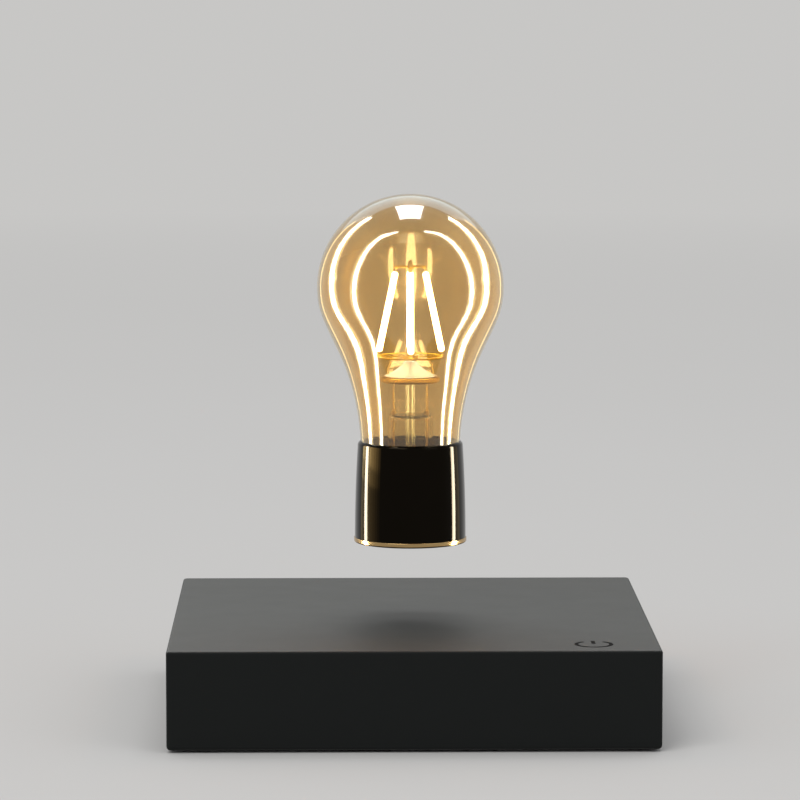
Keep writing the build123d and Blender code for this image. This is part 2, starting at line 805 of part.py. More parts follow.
# Glass stem: a flared tube, domed on top, that closes the neck and holds the tube and the leads
flare_rim_radius = neck_outside(neck_end_z) - glass_wall_thickness / neck_cos - pin_clearance
flare_radius = flare_rim_radius - stem_radius
flare_centre = (flare_rim_radius, neck_end_z + stem_wall_thickness + flare_radius)
tube_hole_radius = tube_radius + pin_clearance
with BuildPart() as glass_stem:
    with BuildSketch(Plane.XZ):
        with BuildLine():
            shoulder_foot = (stem_radius, stem_top_z - stem_shoulder_radius)
            shoulder_head = (stem_radius - stem_shoulder_radius, stem_top_z)
            CenterArc(flare_centre, flare_radius, half_turn, quarter_turn)
            Line((flare_rim_radius, neck_end_z + stem_wall_thickness), (flare_rim_radius, neck_end_z))
            CenterArc(flare_centre, flare_radius + stem_wall_thickness, half_turn, quarter_turn)
            Line((stem_radius, flare_centre[1]), shoulder_foot)
            RadiusArc(shoulder_foot, shoulder_head, -stem_shoulder_radius)
            Polyline(
                shoulder_head,
                (tube_hole_radius, stem_top_z),
                (tube_hole_radius, stem_top_z - stem_shoulder_radius),
                (stem_radius - stem_wall_thickness, stem_top_z - stem_shoulder_radius),
                (stem_radius - stem_wall_thickness, flare_centre[1]),
            )
        make_face()
    revolve(axis=Axis.Z)
    with BuildSketch(Plane.XY.offset(stem_top_z - stem_shoulder_radius - cut_overrun_length)):
        with PolarLocations(lead_ring_radius, 2):
            Circle(lead_radius + pin_clearance)
    extrude(amount=stem_shoulder_radius + 2 * cut_overrun_length, mode=Mode.SUBTRACT)
write(glass_stem, "glass_stem")

# Exhaust tube: a fine glass tube up the middle of the stem, sealed with a tapered tail below
tube_bottom_z = neck_end_z - tube_tail_length / 2
tube_top_z = ring_z + ring_thickness
with BuildPart() as exhaust_tube:
    with BuildSketch(Plane.XY.offset(tube_bottom_z)):
        Circle(tube_radius)
    extrude(amount=tube_top_z - tube_bottom_z)
    chamfer(exhaust_tube.edges().group_by(Axis.Z)[0], tube_radius / 2)
    with BuildSketch(Plane.XY.offset(tube_bottom_z + tube_radius)):
        Circle(tube_bore_radius)
    extrude(amount=tube_top_z - tube_bottom_z - tube_radius, mode=Mode.SUBTRACT)
write(exhaust_tube, "exhaust_tube")

# Support rod: stands on the tube with a collar over its end and carries the crown
rod_top_z = crown_z + crown_thickness
with BuildPart() as support_rod:
    with BuildSketch(Plane.XY.offset(tube_top_z)):
        Circle(tube_radius)
    extrude(amount=rod_collar_height)
    with BuildSketch(Plane.XY.offset(tube_top_z + rod_collar_height)):
        Circle(rod_radius)
    extrude(amount=rod_top_z - tube_top_z - rod_collar_height)
write(support_rod, "support_rod")

# Top bead: the melted end of the rod, above the crown
with BuildPart() as top_bead:
    with BuildSketch(Plane.XZ):
        with BuildLine():
            CenterArc((0, rod_top_z), bead_radius, 0, quarter_turn)
            Polyline((0, rod_top_z + bead_radius), (0, rod_top_z), (bead_radius, rod_top_z))
        make_face()
    revolve(axis=Axis.Z)
write(top_bead, "top_bead")

# Lower ring: a spoked brass ring on the tube, which the feet of the filaments are welded to
with BuildPart() as lower_ring:
    with BuildSketch(Plane.XY.offset(ring_z)):
        Circle(ring_radius + ring_width / 2)
        Circle(ring_radius - ring_width / 2, mode=Mode.SUBTRACT)
        Rectangle(2 * ring_radius, spoke_width)
        Rectangle(spoke_width, 2 * ring_radius)
        Circle(ring_hub_radius)
        Circle(tube_hole_radius, mode=Mode.SUBTRACT)
    extrude(amount=ring_thickness)
write(lower_ring, "lower_ring")

# Reflector disc, and the white flared cone that stands on it
with BuildPart() as reflector_disc:
    with BuildSketch(Plane.XY.offset(disc_z - disc_thickness / 2)):
        Circle(disc_radius)
    extrude(amount=disc_thickness)
    chamfer(reflector_disc.edges().filter_by(GeomType.CIRCLE), disc_edge_width)
    with BuildSketch(Plane.XY.offset(disc_z - disc_thickness / 2)):
        Circle(tube_hole_radius)
    extrude(amount=disc_thickness, mode=Mode.SUBTRACT)
write(reflector_disc, "reflector_disc")

cone_z = disc_z + disc_thickness / 2
cone_top_z = ring_z - cone_gap
cone_waist_z = cone_z + cone_waist_share * (cone_top_z - cone_z)
with BuildPart() as reflector_cone:
    with BuildSketch(Plane.XZ):
        with BuildLine():
            Line((tube_hole_radius, cone_z), (cone_foot_radius, cone_z))
            Line((cone_foot_radius, cone_z), (cone_foot_radius, cone_z + cone_wall_thickness / 2))
            ThreePointArc(
                (cone_foot_radius, cone_z + cone_wall_thickness / 2),
                (cone_waist_radius, cone_waist_z),
                (cone_top_radius, cone_top_z),
            )
            Polyline(
                (cone_top_radius, cone_top_z),
                (tube_hole_radius, cone_top_z),
                (tube_hole_radius, cone_z),
            )
        make_face()
    revolve(axis=Axis.Z)
write(reflector_cone, "reflector_cone")

# Ring struts: two bowed wires that take the current from the cone's foot up to the spokes of the ring
with BuildPart() as ring_struts:
    for side in (1, -1):
        foot = (side * strut_foot_radius, cone_z + cone_wall_thickness / 2)
        head = (side * strut_head_radius, ring_z + ring_thickness / 2)
        bow = (side * ((strut_foot_radius + strut_head_radius) / 2 + strut_bow_depth), (cone_z + ring_z) / 2)
        with BuildLine(Plane.XZ) as strut_path:
            ThreePointArc(foot, bow, head)
        with BuildSketch(Plane(strut_path.wire() @ 0, z_dir=strut_path.wire() % 0)):
            RegularPolygon(strut_radius, strut_sides)
        sweep(path=strut_path.wire())
    add(reflector_cone.part, mode=Mode.SUBTRACT)
    add(lower_ring.part, mode=Mode.SUBTRACT)
write(ring_struts, "ring_struts")

# Lead wires: up from the rectifier board, through the dome of the stem with a knuckle, to the reflector disc
knuckle_z = stem_top_z
with BuildPart() as lead_wires:
    for bottom, top, radius in (
        (rectifier_top_z, knuckle_z, lead_radius),
        (knuckle_z, knuckle_z + lead_knuckle_height, lead_knuckle_radius),
        (knuckle_z + lead_knuckle_height, disc_z - disc_thickness / 2, lead_upper_radius),
    ):
        with BuildSketch(Plane.XY.offset(bottom)):
            with PolarLocations(lead_ring_radius, 2):
                Circle(radius)
        extrude(amount=top - bottom)
write(lead_wires, "lead_wires")

# Crown: four arms on the rod, which the heads of the filaments are welded to
with BuildPart() as top_crown:
    with BuildSketch(Plane.XY.offset(crown_z)):
        Circle(crown_hub_radius)
        Rectangle(2 * filament_head_radius + crown_arm_width, crown_arm_width)
        Rectangle(crown_arm_width, 2 * filament_head_radius + crown_arm_width)
        Circle(rod_radius + pin_clearance, mode=Mode.SUBTRACT)
    extrude(amount=crown_thickness)
write(top_crown, "top_crown")

# Filaments: four coated strips that lean in from the lower ring to the crown, with a metal tab at each end
filament_foot_z = ring_z + ring_thickness
filament_height = crown_z - filament_foot_z
filament_lean_width = filament_foot_radius - filament_head_radius
filament_length = hypot(filament_height, filament_lean_width)


def filament_plane(angle):
    """A plane at the foot of the filament on that side, whose normal runs up the filament."""
    x, y = on_circle(filament_foot_radius, angle)
    inward_x, inward_y = on_circle(-filament_lean_width, angle)
    side_x, side_y = on_circle(1, angle + quarter_turn)
    return Plane(
        origin=(x, y, filament_foot_z),
        x_dir=(side_x, side_y, 0),
        z_dir=(inward_x, inward_y, filament_height),
    )


for side, angle in filament_sides.items():
    with BuildPart() as filament:
        with BuildSketch(filament_plane(angle).offset(filament_tab_length)):
            Circle(filament_radius)
        extrude(amount=filament_length - 2 * filament_tab_length)
        chamfer(filament.edges().filter_by(GeomType.CIRCLE), filament_edge_width)
    write(filament, f"filament_{side}")

with BuildPart() as filament_tabs:
    for angle in filament_sides.values():
        foot = filament_plane(angle)
        for start in (pin_clearance, filament_length - filament_tab_length):
            with BuildSketch(foot.offset(start)):
                Rectangle(filament_tab_width, filament_tab_thickness)
            extrude(amount=filament_tab_length - pin_clearance)
write(filament_tabs, "filament_tabs")
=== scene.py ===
"""Levitating lamp: the looks of a filament bulb that floats over a square base.

Lengths are in metres and angles in degrees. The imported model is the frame, and every piece takes its
place from it.
"""

import json
from math import atan2, cos, degrees, dist, hypot, pi, radians, sin, tan

import bmesh
import bpy
from mathutils import Matrix, Vector


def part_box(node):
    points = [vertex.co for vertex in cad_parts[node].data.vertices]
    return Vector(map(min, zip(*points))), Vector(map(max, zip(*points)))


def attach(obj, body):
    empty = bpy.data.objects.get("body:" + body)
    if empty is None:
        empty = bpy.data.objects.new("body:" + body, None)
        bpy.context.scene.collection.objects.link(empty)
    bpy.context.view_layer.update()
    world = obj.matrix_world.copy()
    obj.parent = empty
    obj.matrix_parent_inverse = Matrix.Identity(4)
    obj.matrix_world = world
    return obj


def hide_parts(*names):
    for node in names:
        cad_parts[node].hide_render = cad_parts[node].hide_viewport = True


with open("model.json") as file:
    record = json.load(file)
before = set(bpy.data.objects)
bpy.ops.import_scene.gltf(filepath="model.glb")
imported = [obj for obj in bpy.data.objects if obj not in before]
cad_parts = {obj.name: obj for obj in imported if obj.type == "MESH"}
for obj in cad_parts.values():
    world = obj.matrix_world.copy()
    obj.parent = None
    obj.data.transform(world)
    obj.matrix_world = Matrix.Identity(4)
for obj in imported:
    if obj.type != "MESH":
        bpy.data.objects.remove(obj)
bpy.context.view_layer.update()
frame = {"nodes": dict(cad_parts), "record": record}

scene = bpy.context.scene
mm = 0.001
too_short = 1e-6
quarter_turn = 90
half_turn = 180
full_turn = 360

# Segments round a turned or swept piece
round_glass = 256
round_metal = 192
round_floor = 96
round_hub = 64
round_small = 48
round_coat = 32
round_wire = 24
round_weld = 20
round_strut = 16


# Places read from the frame
def low(node):
    """The lowest corner of a CAD node."""
    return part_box(node)[0]


def high(node):
    """The highest corner of a CAD node."""
    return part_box(node)[1]


base_top = high("base_cover").z
cap_foot = low("cap_rim").z
rim_top = low("cap_shell").z
cap_top = high("cap_shell").z
cap_foot_radius = high("cap_shell").x
ball_radius = high("glass_globe").x
ball_z = high("glass_globe").z - ball_radius
neck_end = low("glass_globe").z
stem_top = high("glass_stem").z
ring_low = low("lower_ring").z
ring_high = high("lower_ring").z
disc_low = low("reflector_disc").z
disc_high = high("reflector_disc").z
crown_low = low("top_crown").z
crown_high = high("top_crown").z
rod_top = high("support_rod").z
tube_low = low("exhaust_tube").z
tube_high = high("exhaust_tube").z

# Sizes that more than one function follows and that the boxes don't give. The slip is the gap round a
# piece that another fits over.
slip = 0.05 * mm
glass_wall = 0.8 * mm
neck_radius = 16.0 * mm
neck_draft = 3
cap_wall = 0.8 * mm
stem_radius = 7.3 * mm
stem_shoulder_radius = 2.0 * mm
stem_dome_drop = 0.35 * mm
stem_dome_angle = 75
tube_radius = 1.45 * mm
tube_hole = tube_radius + slip
rod_radius = 0.7 * mm
lead_ring_radius = 5.3 * mm
ring_height = 0.6 * mm
filament_foot_radius = 10.4 * mm
filament_head_radius = 4.5 * mm
filament_tab_length = 1.3 * mm
filament_sides = {"right": 0, "back": 90, "left": 180, "front": 270}


# Outlines in the plane of radius and height
def along(centre, radius, angle):
    """The point at that radius and angle round a centre."""
    return (centre[0] + radius * cos(radians(angle)), centre[1] + radius * sin(radians(angle)))


def arc(centre, radius, start, end, steps):
    """Points on an arc between two angles, both ends included."""
    return [along(centre, radius, start + (end - start) * i / steps) for i in range(steps + 1)]


def arc_through(first, middle, last, steps):
    """Points on the arc through three points."""
    (ax, ay), (bx, by), (cx, cy) = first, middle, last
    d = 2 * (ax * (by - cy) + bx * (cy - ay) + cx * (ay - by))
    a2, b2, c2 = ax * ax + ay * ay, bx * bx + by * by, cx * cx + cy * cy
    centre = (
        (a2 * (by - cy) + b2 * (cy - ay) + c2 * (ay - by)) / d,
        (a2 * (cx - bx) + b2 * (ax - cx) + c2 * (bx - ax)) / d,
    )
    radius = hypot(ax - centre[0], ay - centre[1])
    angles = [degrees(atan2(y - centre[1], x - centre[0])) for x, y in (first, middle, last)]
    for i in (1, 2):
        while angles[i] - angles[i - 1] > half_turn:
            angles[i] -= full_turn
        while angles[i] - angles[i - 1] < -half_turn:
            angles[i] += full_turn
    return arc(centre, radius, angles[0], angles[2], steps)


def bulged(first, last, radius, steps):
    """Points on an arc of that radius that bulges to the right of the way from first to last."""
    chord = Vector(last) - Vector(first)
    sagitta = radius - (radius**2 - chord.length_squared / 4) ** 0.5
    middle = (Vector(first) + Vector(last)) / 2 + Vector((chord.y, -chord.x)).normalized() * sagitta
    return arc_through(first, tuple(middle), last, steps)


def line(first, last, steps):
    """Evenly spaced points of a straight line, both ends included."""
    return [tuple(Vector(first).lerp(Vector(last), i / steps)) for i in range(steps + 1)]


def run(*stretches):
    """Joins stretches of points, without doubling the points that they share."""
    points = []
    for stretch in stretches:
        for point in stretch:
            if not points or dist(point, points[-1]) > too_short:
                points.append(tuple(point))
    if dist(points[0], points[-1]) < too_short:
        points.pop()
    return points


def round_box(inner, outer, bottom, top, edge):
    """The profile of a ring with rounded edges."""
    left, right = inner + edge, outer - edge
    corners = ((right, bottom + edge), (right, top - edge), (left, top - edge), (left, bottom + edge))
    turns = range(-quarter_turn, half_turn + quarter_turn, quarter_turn)
    return run(*(arc(corner, edge, turn, turn + quarter_turn, 5) for corner, turn in zip(corners, turns)))


# Mesh building
def bridge(mesh, lower, upper):
    """Joins two rings of points with faces. A ring of one point is a pole."""
    count = max(len(lower), len(upper))
    for i in range(count):
        j = (i + 1) % count
        if len(lower) == 1:
            mesh.faces.new((lower[0], upper[j], upper[i]))
        elif len(upper) == 1:
            mesh.faces.new((lower[i], lower[j], upper[0]))
        else:
            mesh.faces.new((lower[i], lower[j], upper[j], upper[i]))


def lathe(mesh, profile, segments, centre=(0, 0), closed=True):
    """Turns a profile round the vertical through centre. A point with no radius becomes a pole."""
    x, y = centre
    turns = [2 * pi * i / segments for i in range(segments)]
    rings = []
    for radius, z in profile:
        if radius < too_short:
            rings.append([mesh.verts.new((x, y, z))])
        else:
            rings.append([mesh.verts.new((x + radius * cos(t), y + radius * sin(t), z)) for t in turns])
    for lower, upper in zip(rings, rings[1:]):
        bridge(mesh, lower, upper)
    if closed:
        bridge(mesh, rings[-1], rings[0])


def turned(profile, segments, closed=True):
    """A new mesh with that profile turned round the axis."""
    mesh = bmesh.new()
    lathe(mesh, profile, segments, closed=closed)
    return mesh


def tube(mesh, points, radii, sides, flat=1.0):
    """Sweeps a round or, with flat under 1, an oval section along points, and closes both ends."""
    points = [Vector(point) for point in points]
    ways = []
    for i in range(len(points)):
        before = points[max(i - 1, 0)]
        after = points[min(i + 1, len(points) - 1)]
        ways.append((after - before).normalized())
    across = ways[0].orthogonal().normalized()
    rings = []
    for point, way, radius in zip(points, ways, radii):
        across = (across - way * across.dot(way)).normalized()
        beside = way.cross(across)
        ring = []
        for i in range(sides):
            turn = 2 * pi * i / sides
            ring.append(mesh.verts.new(point + radius * (across * cos(turn) * flat + beside * sin(turn))))
        rings.append(ring)
    for lower, upper in zip(rings, rings[1:]):
        bridge(mesh, lower, upper)
    mesh.faces.new(list(reversed(rings[0])))
    mesh.faces.new(rings[-1])


def slab(mesh, matrix, size, edge):
    """A box of that size with rounded edges, placed by a matrix."""
    made = bmesh.ops.create_cube(mesh, size=1, matrix=matrix @ Matrix.Diagonal((*size, 1)))
    edges = list({e for v in made["verts"] for e in v.link_edges})
    bmesh.ops.bevel(mesh, geom=edges, offset=edge, segments=3, affect="EDGES", profile=0.5)


def weld_bead(mesh, x, y, z, radius, squash=0.7):
    """A small flattened bead of weld metal."""
    profile = [(0, z - radius * squash)]
    for angle in range(-75, quarter_turn, 15):
        profile.append((radius * cos(radians(angle)), z + radius * squash * sin(radians(angle))))
    profile.append((0, z + radius * squash))
    lathe(mesh, profile, round_weld, (x, y), closed=False)


def in_scene(name, data):
    """Adds an object with that data to the scene."""
    made = bpy.data.objects.new(name, data)
    scene.collection.objects.link(made)
    return made


def mesh_object(name, mesh):
    """Turns a mesh under construction into an object."""
    data = bpy.data.meshes.new(name)
    mesh.to_mesh(data)
    mesh.free()
    return in_scene(name, data)


def piece(name, mesh, slot, body, replaced=(), sharp=30, finish=None):
    """Makes one piece: its object, smooth shading, finish and the body that it rides on.

    The finish is the one of its slot, unless finish names another.
    """
    bmesh.ops.recalc_face_normals(mesh, faces=mesh.faces)
    made = mesh_object(name, mesh)
    made.data.polygons.foreach_set("use_smooth", [True] * len(made.data.polygons))
    made.data.set_sharp_from_angle(angle=radians(sharp))
    made.data.materials.append(materials[finish or slot])
    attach(made, body)
    if replaced:
        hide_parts(*replaced)
    return made


# Materials
class Nodes:
    """A node tree and helpers that add to it."""

    def __init__(self, tree):
        self.tree = tree

    def node(self, kind, **inputs):
        """Adds a node and sets its unlinked inputs."""
        made = self.tree.nodes.new(kind)
        for socket, value in inputs.items():
            made.inputs[socket.replace("_", " ")].default_value = value
        return made

    def link(self, source, target):
        self.tree.links.new(source, target)

    def maths(self, operation, *terms):
        """The result of an operation on outputs and plain numbers."""
        made = self.node("ShaderNodeMath")
        made.operation = operation
        for term, target in zip(terms, made.inputs):
            if isinstance(term, float):
                target.default_value = term
            else:
                self.link(term, target)
        return made.outputs[0]

    def rays(self, first, *others):
        """1 for rays of the kinds named, 0 for all others."""
        path = self.node("ShaderNodeLightPath")
        total = path.outputs[first]
        for kind in others:
            total = self.maths("MAXIMUM", total, path.outputs[kind])
        return total

    def mixed(self, factor, first, second):
        """Mixes two shaders by a factor."""
        mix = self.node("ShaderNodeMixShader")
        for source, target in zip((factor, first, second), mix.inputs):
            self.link(source, target)
        return mix.outputs["Shader"]


class Finish(Nodes):
    """A node material with one principled shader and helpers for the detail that drives it."""

    def __init__(self, name, **sockets):
        self.name = name
        self.material = bpy.data.materials.new(name)
        self.material.use_nodes = True
        super().__init__(self.material.node_tree)
        self.shader = self.tree.nodes["Principled BSDF"]
        for socket, value in sockets.items():
            self.shader.inputs[socket.replace("_", " ")].default_value = value

    def place(self, scale=(1, 1, 1)):
        """Coordinates of the object, stretched."""
        coordinates = self.node("ShaderNodeTexCoord")
        mapping = self.node("ShaderNodeMapping", Scale=scale)
        self.link(coordinates.outputs["Object"], mapping.inputs["Vector"])
        return mapping.outputs["Vector"]

    def grain(self, size, detail=3.0, stretch=(1, 1, 1)):
        """Noise whose grains are about that long."""
        noise = self.node("ShaderNodeTexNoise", Scale=1 / size, Detail=detail, Roughness=0.55)
        self.link(self.place(stretch), noise.inputs["Vector"])
        return noise.outputs["Fac"]

    def between(self, factor, lowest, highest, start=0.3, end=0.7):
        """Maps a factor to a range."""
        ends = {"From_Min": start, "From_Max": end, "To_Min": lowest, "To_Max": highest}
        spread = self.node("ShaderNodeMapRange", **ends)
        self.link(factor, spread.inputs["Value"])
        return spread.outputs["Result"]

    def blend(self, factor, first, second):
        """Mixes two colours by a factor."""
        mix = self.node("ShaderNodeMix")
        mix.data_type = "RGBA"
        self.link(factor, mix.inputs["Factor"])
        mix.inputs["A"].default_value = (*first, 1)
        mix.inputs["B"].default_value = (*second, 1)
        return mix.outputs["Result"]

    def colour(self, factor, first, second):
        """Mixes two colours of the surface by a factor."""
        self.link(self.blend(factor, first, second), self.shader.inputs["Base Color"])

    def roughness(self, factor, lowest, highest, start=0.3, end=0.7):
        """Maps a factor to a range of roughness."""
        self.link(self.between(factor, lowest, highest, start, end), self.shader.inputs["Roughness"])

    def relief(self, output, height, strength=1.0):
        """Raises the surface by a factor."""
        bump = self.node("ShaderNodeBump", Strength=strength, Distance=height)
        self.link(output, bump.inputs["Height"])
        self.link(bump.outputs["Normal"], self.shader.inputs["Normal"])

    def surface(self, output):
        """Shows another shader in place of the principled one alone."""
        self.link(output, self.tree.nodes["Material Output"].inputs["Surface"])


def shade(colour, factor):
    """The colour times a factor."""
    return tuple(min(1.0, channel * factor) for channel in colour)


def clouded(finish, colour, variation, cloud_size):
    """Gives a finish a slightly uneven tone, and returns the clouds that drive it."""
    cloud = finish.grain(cloud_size, detail=4.0)
    finish.colour(cloud, shade(colour, 1 - variation), shade(colour, 1 + variation))
    return cloud


def plastic(name, colour, roughness, grain, relief, variation=0.15, gloss_variation=0.04, **sockets):
    """Moulded or coated surface: fine grain, slightly uneven gloss and tone."""
    finish = Finish(name, **sockets)
    cloud = clouded(finish, colour, variation, 60 * grain)
    finish.roughness(cloud, roughness - gloss_variation, roughness + gloss_variation)
    finish.relief(finish.grain(grain), relief)
    return finish


def metal(name, colour, roughness, grain, relief, stretch=(1, 1, 1), variation=0.12):
    """Metal with fine marks that lie the way that stretch says."""
    finish = Finish(name, Metallic=1.0)
    clouded(finish, colour, variation, 25 * grain)
    marks = finish.grain(grain, stretch=stretch)
    finish.roughness(marks, roughness * 0.7, roughness * 1.4)
    finish.relief(marks, relief)
    return finish


def winding(name, colour, wire):
    """Wound enamelled wire: turns lie side by side along the height, with painted shade darkening the
    grooves between them.
    """
    turn_height = 0.15 * mm
    finish = Finish(name, Metallic=1.0, Coat_Weight=0.6, Coat_Roughness=0.15)
    turns = finish.node("ShaderNodeTexWave", Scale=1 / wire / (2 * pi), Distortion=0.6, Detail=1.0)
    turns.bands_direction = "Z"
    finish.link(finish.place(), turns.inputs["Vector"])
    # The colour darkens to 0.45 of the copper in the grooves between turns: painted shade
    finish.colour(turns.outputs["Fac"], shade(colour, 0.45), shade(colour, 1.15))
    finish.roughness(turns.outputs["Fac"], 0.45, 0.25, 0.0, 1.0)
    finish.relief(turns.outputs["Fac"], turn_height)
    return finish


def board(name):
    """Circuit board: solder mask over a web of copper tracks."""
    track_pitch, track_height = 3 * mm, 0.03 * mm
    finish = Finish(name, Specular_IOR_Level=0.5)
    cells = finish.node("ShaderNodeTexVoronoi", Scale=1 / track_pitch)
    cells.distance = "MANHATTAN"
    cells.feature = "DISTANCE_TO_EDGE"
    finish.link(finish.place((1, 1, 0)), cells.inputs["Vector"])
    tracks = finish.between(cells.outputs["Distance"], 1.0, 0.0, 0.05, 0.09)
    finish.colour(tracks, (0.004, 0.055, 0.02), (0.02, 0.16, 0.06))
    finish.roughness(tracks, 0.3, 0.42, 0.0, 1.0)
    finish.relief(tracks, track_height)
    return finish


def see_through_to_lamps(finish, colour):
    """Lets lamps and soft light straight through the glass, tinted once for each wall."""
    clear = finish.node("ShaderNodeBsdfTransparent", Color=(*colour, 1))
    lit = finish.rays("Is Shadow Ray", "Is Diffuse Ray")
    finish.surface(finish.mixed(lit, finish.shader.outputs["BSDF"], clear.outputs["BSDF"]))


def amber_glass():
    """Blown amber glass: tinted, polished, with the faint waves of blowing."""
    tint, edge_tint = (0.84, 0.64, 0.33), (0.64, 0.47, 0.17)
    wave_length, wave_height, wave_share = 22 * mm, 0.04 * mm, 0.06
    coat = {"Coat_Weight": 0.6, "Coat_Roughness": 0.12, "Coat_IOR": 1.55}
    finish = Finish("amber_glass", Transmission_Weight=1.0, Roughness=0.0, IOR=1.5, **coat)
    waves = finish.grain(wave_length, detail=1.0, stretch=(1, 1, 0.5))
    slant = finish.node("ShaderNodeLayerWeight", Blend=0.5)
    path_length = finish.between(slant.outputs["Facing"], 0.0, 1.0, 0.45, 0.95)
    depth = finish.maths("MULTIPLY_ADD", waves, wave_share, path_length)
    finish.colour(depth, tint, edge_tint)
    finish.relief(waves, wave_height, 0.5)
    see_through_to_lamps(finish, shade(tint, 1.05))
    return finish


def clear_glass(name="clear_glass", cloudy=0.0):
    """Clear stem glass with faint draw lines, a little cloudy where it was drawn thin."""
    streak_width, streak_height = 1.2 * mm, 0.02 * mm
    finish = Finish(name, Transmission_Weight=1.0, IOR=1.5)
    streaks = finish.grain(streak_width, stretch=(1, 1, 0.08))
    finish.colour(streaks, (0.93, 0.91, 0.86), (0.98, 0.97, 0.94))
    finish.roughness(streaks, cloudy, cloudy + 0.03)
    finish.relief(streaks, streak_height)
    see_through_to_lamps(finish, (0.97, 0.96, 0.93))
    return finish


def filament_phosphor():
    """Glowing phosphor coat: grainy, and a little uneven in its glow."""
    grain_size, grain_height = 0.5 * mm, 0.05 * mm
    finish = Finish("filament_phosphor", Roughness=0.6, Emission_Strength=15.0)
    grains = finish.grain(grain_size)
    finish.colour(grains, (0.85, 0.55, 0.12), (0.95, 0.68, 0.2))
    finish.relief(grains, grain_height)
    heat = finish.blend(finish.between(grains, 0.85, 1.15), (1.0, 0.86, 0.68), (1.0, 0.89, 0.75))
    finish.link(heat, finish.shader.inputs["Emission Color"])
    return finish


def black_chrome():
    """Mirror black chrome: nearly clean, with faint hairlines round the cap."""
    cloud_size, hairline_width, hairline_height = 9 * mm, 0.15 * mm, 0.0015 * mm
    finish = Finish("black_chrome", Metallic=1.0)
    cloud = finish.grain(cloud_size, detail=5.0)
    finish.colour(cloud, (0.0075, 0.006, 0.0042), (0.009, 0.0072, 0.0052))
    finish.roughness(cloud, 0.045, 0.075)
    finish.relief(finish.grain(hairline_width, stretch=(0.03, 0.03, 1)), hairline_height)
    return finish


def touch_print():
    """Printed mark: flat black ink, duller than the coat round it."""
    speck_size = 0.3 * mm
    finish = Finish("touch_print", Specular_IOR_Level=0.12)
    specks = finish.grain(speck_size)
    finish.colour(specks, (0.006, 0.006, 0.006), (0.012, 0.012, 0.012))
    finish.roughness(specks, 0.8, 0.95)
    return finish


base_black = (0.0130, 0.0142, 0.0139)
lacquer = {"variation": 0.04, "gloss_variation": 0.012, "Specular_IOR_Level": 0.05}
across_turns = (1, 1, 30)
finishes = (
    plastic("matte_black", base_black, 0.52, 0.25 * mm, 0.012 * mm, **lacquer),
    plastic("plate_black", (0.03, 0.03, 0.03), 0.55, 0.4 * mm, 0.03 * mm),
    plastic("foot_rubber", (0.05, 0.05, 0.05), 0.75, 0.3 * mm, 0.03 * mm),
    metal("screw_steel", (0.5, 0.5, 0.51), 0.3, 0.15 * mm, 0.01 * mm),
    board("board_green"),
    plastic("chip_black", (0.02, 0.02, 0.022), 0.45, 0.15 * mm, 0.01 * mm),
    metal("can_aluminium", (0.8, 0.8, 0.82), 0.3, 0.2 * mm, 0.01 * mm, across_turns),
    winding("choke_copper", (0.65, 0.26, 0.1), 0.7 * mm),
    plastic("socket_black", (0.03, 0.03, 0.03), 0.35, 0.2 * mm, 0.01 * mm),
    metal("pin_nickel", (0.75, 0.73, 0.68), 0.2, 0.1 * mm, 0.005 * mm),
    plastic("frame_white", (0.62, 0.62, 0.6), 0.5, 0.3 * mm, 0.02 * mm, 0.06),
    metal("magnet_nickel", (0.72, 0.71, 0.68), 0.16, 0.3 * mm, 0.006 * mm),
    metal("core_iron", (0.3, 0.29, 0.28), 0.45, 0.2 * mm, 0.02 * mm),
    winding("coil_copper", (0.7, 0.3, 0.12), 0.5 * mm),
    metal("pad_copper", (0.8, 0.42, 0.22), 0.3, 0.2 * mm, 0.008 * mm),
    metal("spring_steel", (0.7, 0.66, 0.55), 0.25, 0.1 * mm, 0.005 * mm),
    amber_glass(),
    clear_glass(),
    clear_glass("drawn_glass", 0.16),
    metal("rim_brass", (0.46, 0.31, 0.14), 0.16, 0.2 * mm, 0.004 * mm, across_turns),
    plastic("cap_black", (0.02, 0.02, 0.02), 0.5, 0.25 * mm, 0.015 * mm),
    black_chrome(),
    plastic("ferrite", (0.05, 0.045, 0.045), 0.5, 0.2 * mm, 0.02 * mm),
    plastic("gasket", (0.03, 0.03, 0.03), 0.7, 0.2 * mm, 0.01 * mm),
    metal("lead_nickel", (0.8, 0.7, 0.46), 0.36, 0.1 * mm, 0.005 * mm),
    metal("ring_brass", (0.7, 0.54, 0.12), 0.26, 0.15 * mm, 0.01 * mm),
    plastic("reflector_white", (0.85, 0.8, 0.68), 0.3, 0.3 * mm, 0.01 * mm, 0.04),
    filament_phosphor(),
    touch_print(),
)
materials = {finish.name: finish.material for finish in finishes}

# The carried nodes get the finish of their slot
for row in frame["record"]["subparts"]:
    node = frame["nodes"][row["node"]]
    node.data.materials.clear()
    node.data.materials.append(materials[row["material_slot"]])

# The outline of the glass: a ball that runs into a tapered neck through one arc
globe_height = ball_z - cap_top
draft_sin, draft_cos = sin(radians(neck_draft)), cos(radians(neck_draft))
waist_radius = (neck_radius**2 + globe_height**2 - ball_radius**2) / (
    2 * (ball_radius - neck_radius * draft_cos - globe_height * draft_sin)
)
waist_centre = (neck_radius + waist_radius * draft_cos, cap_top - waist_radius * draft_sin)
leave_angle = degrees(atan2(ball_z - waist_centre[1], waist_centre[0]))


def neck_outside(z):
    """Radius of the outside of the straight part of the neck at that height."""
    return neck_radius - (cap_top - z) * tan(radians(neck_draft))


def eased(points, middle):
    """Softens an outline round its point number middle, so that reflections run on without a kink."""
    reach, passes = 16, 60
    for _ in range(passes):
        moved = list(points)
        for i in range(middle - reach, middle + reach + 1):
            share = (1 + cos(pi * (i - middle) / reach)) / 4
            halfway = (Vector(points[i - 1]) + Vector(points[i + 1])) / 2
            moved[i] = tuple(Vector(points[i]).lerp(halfway, share))
        points = moved
    return points


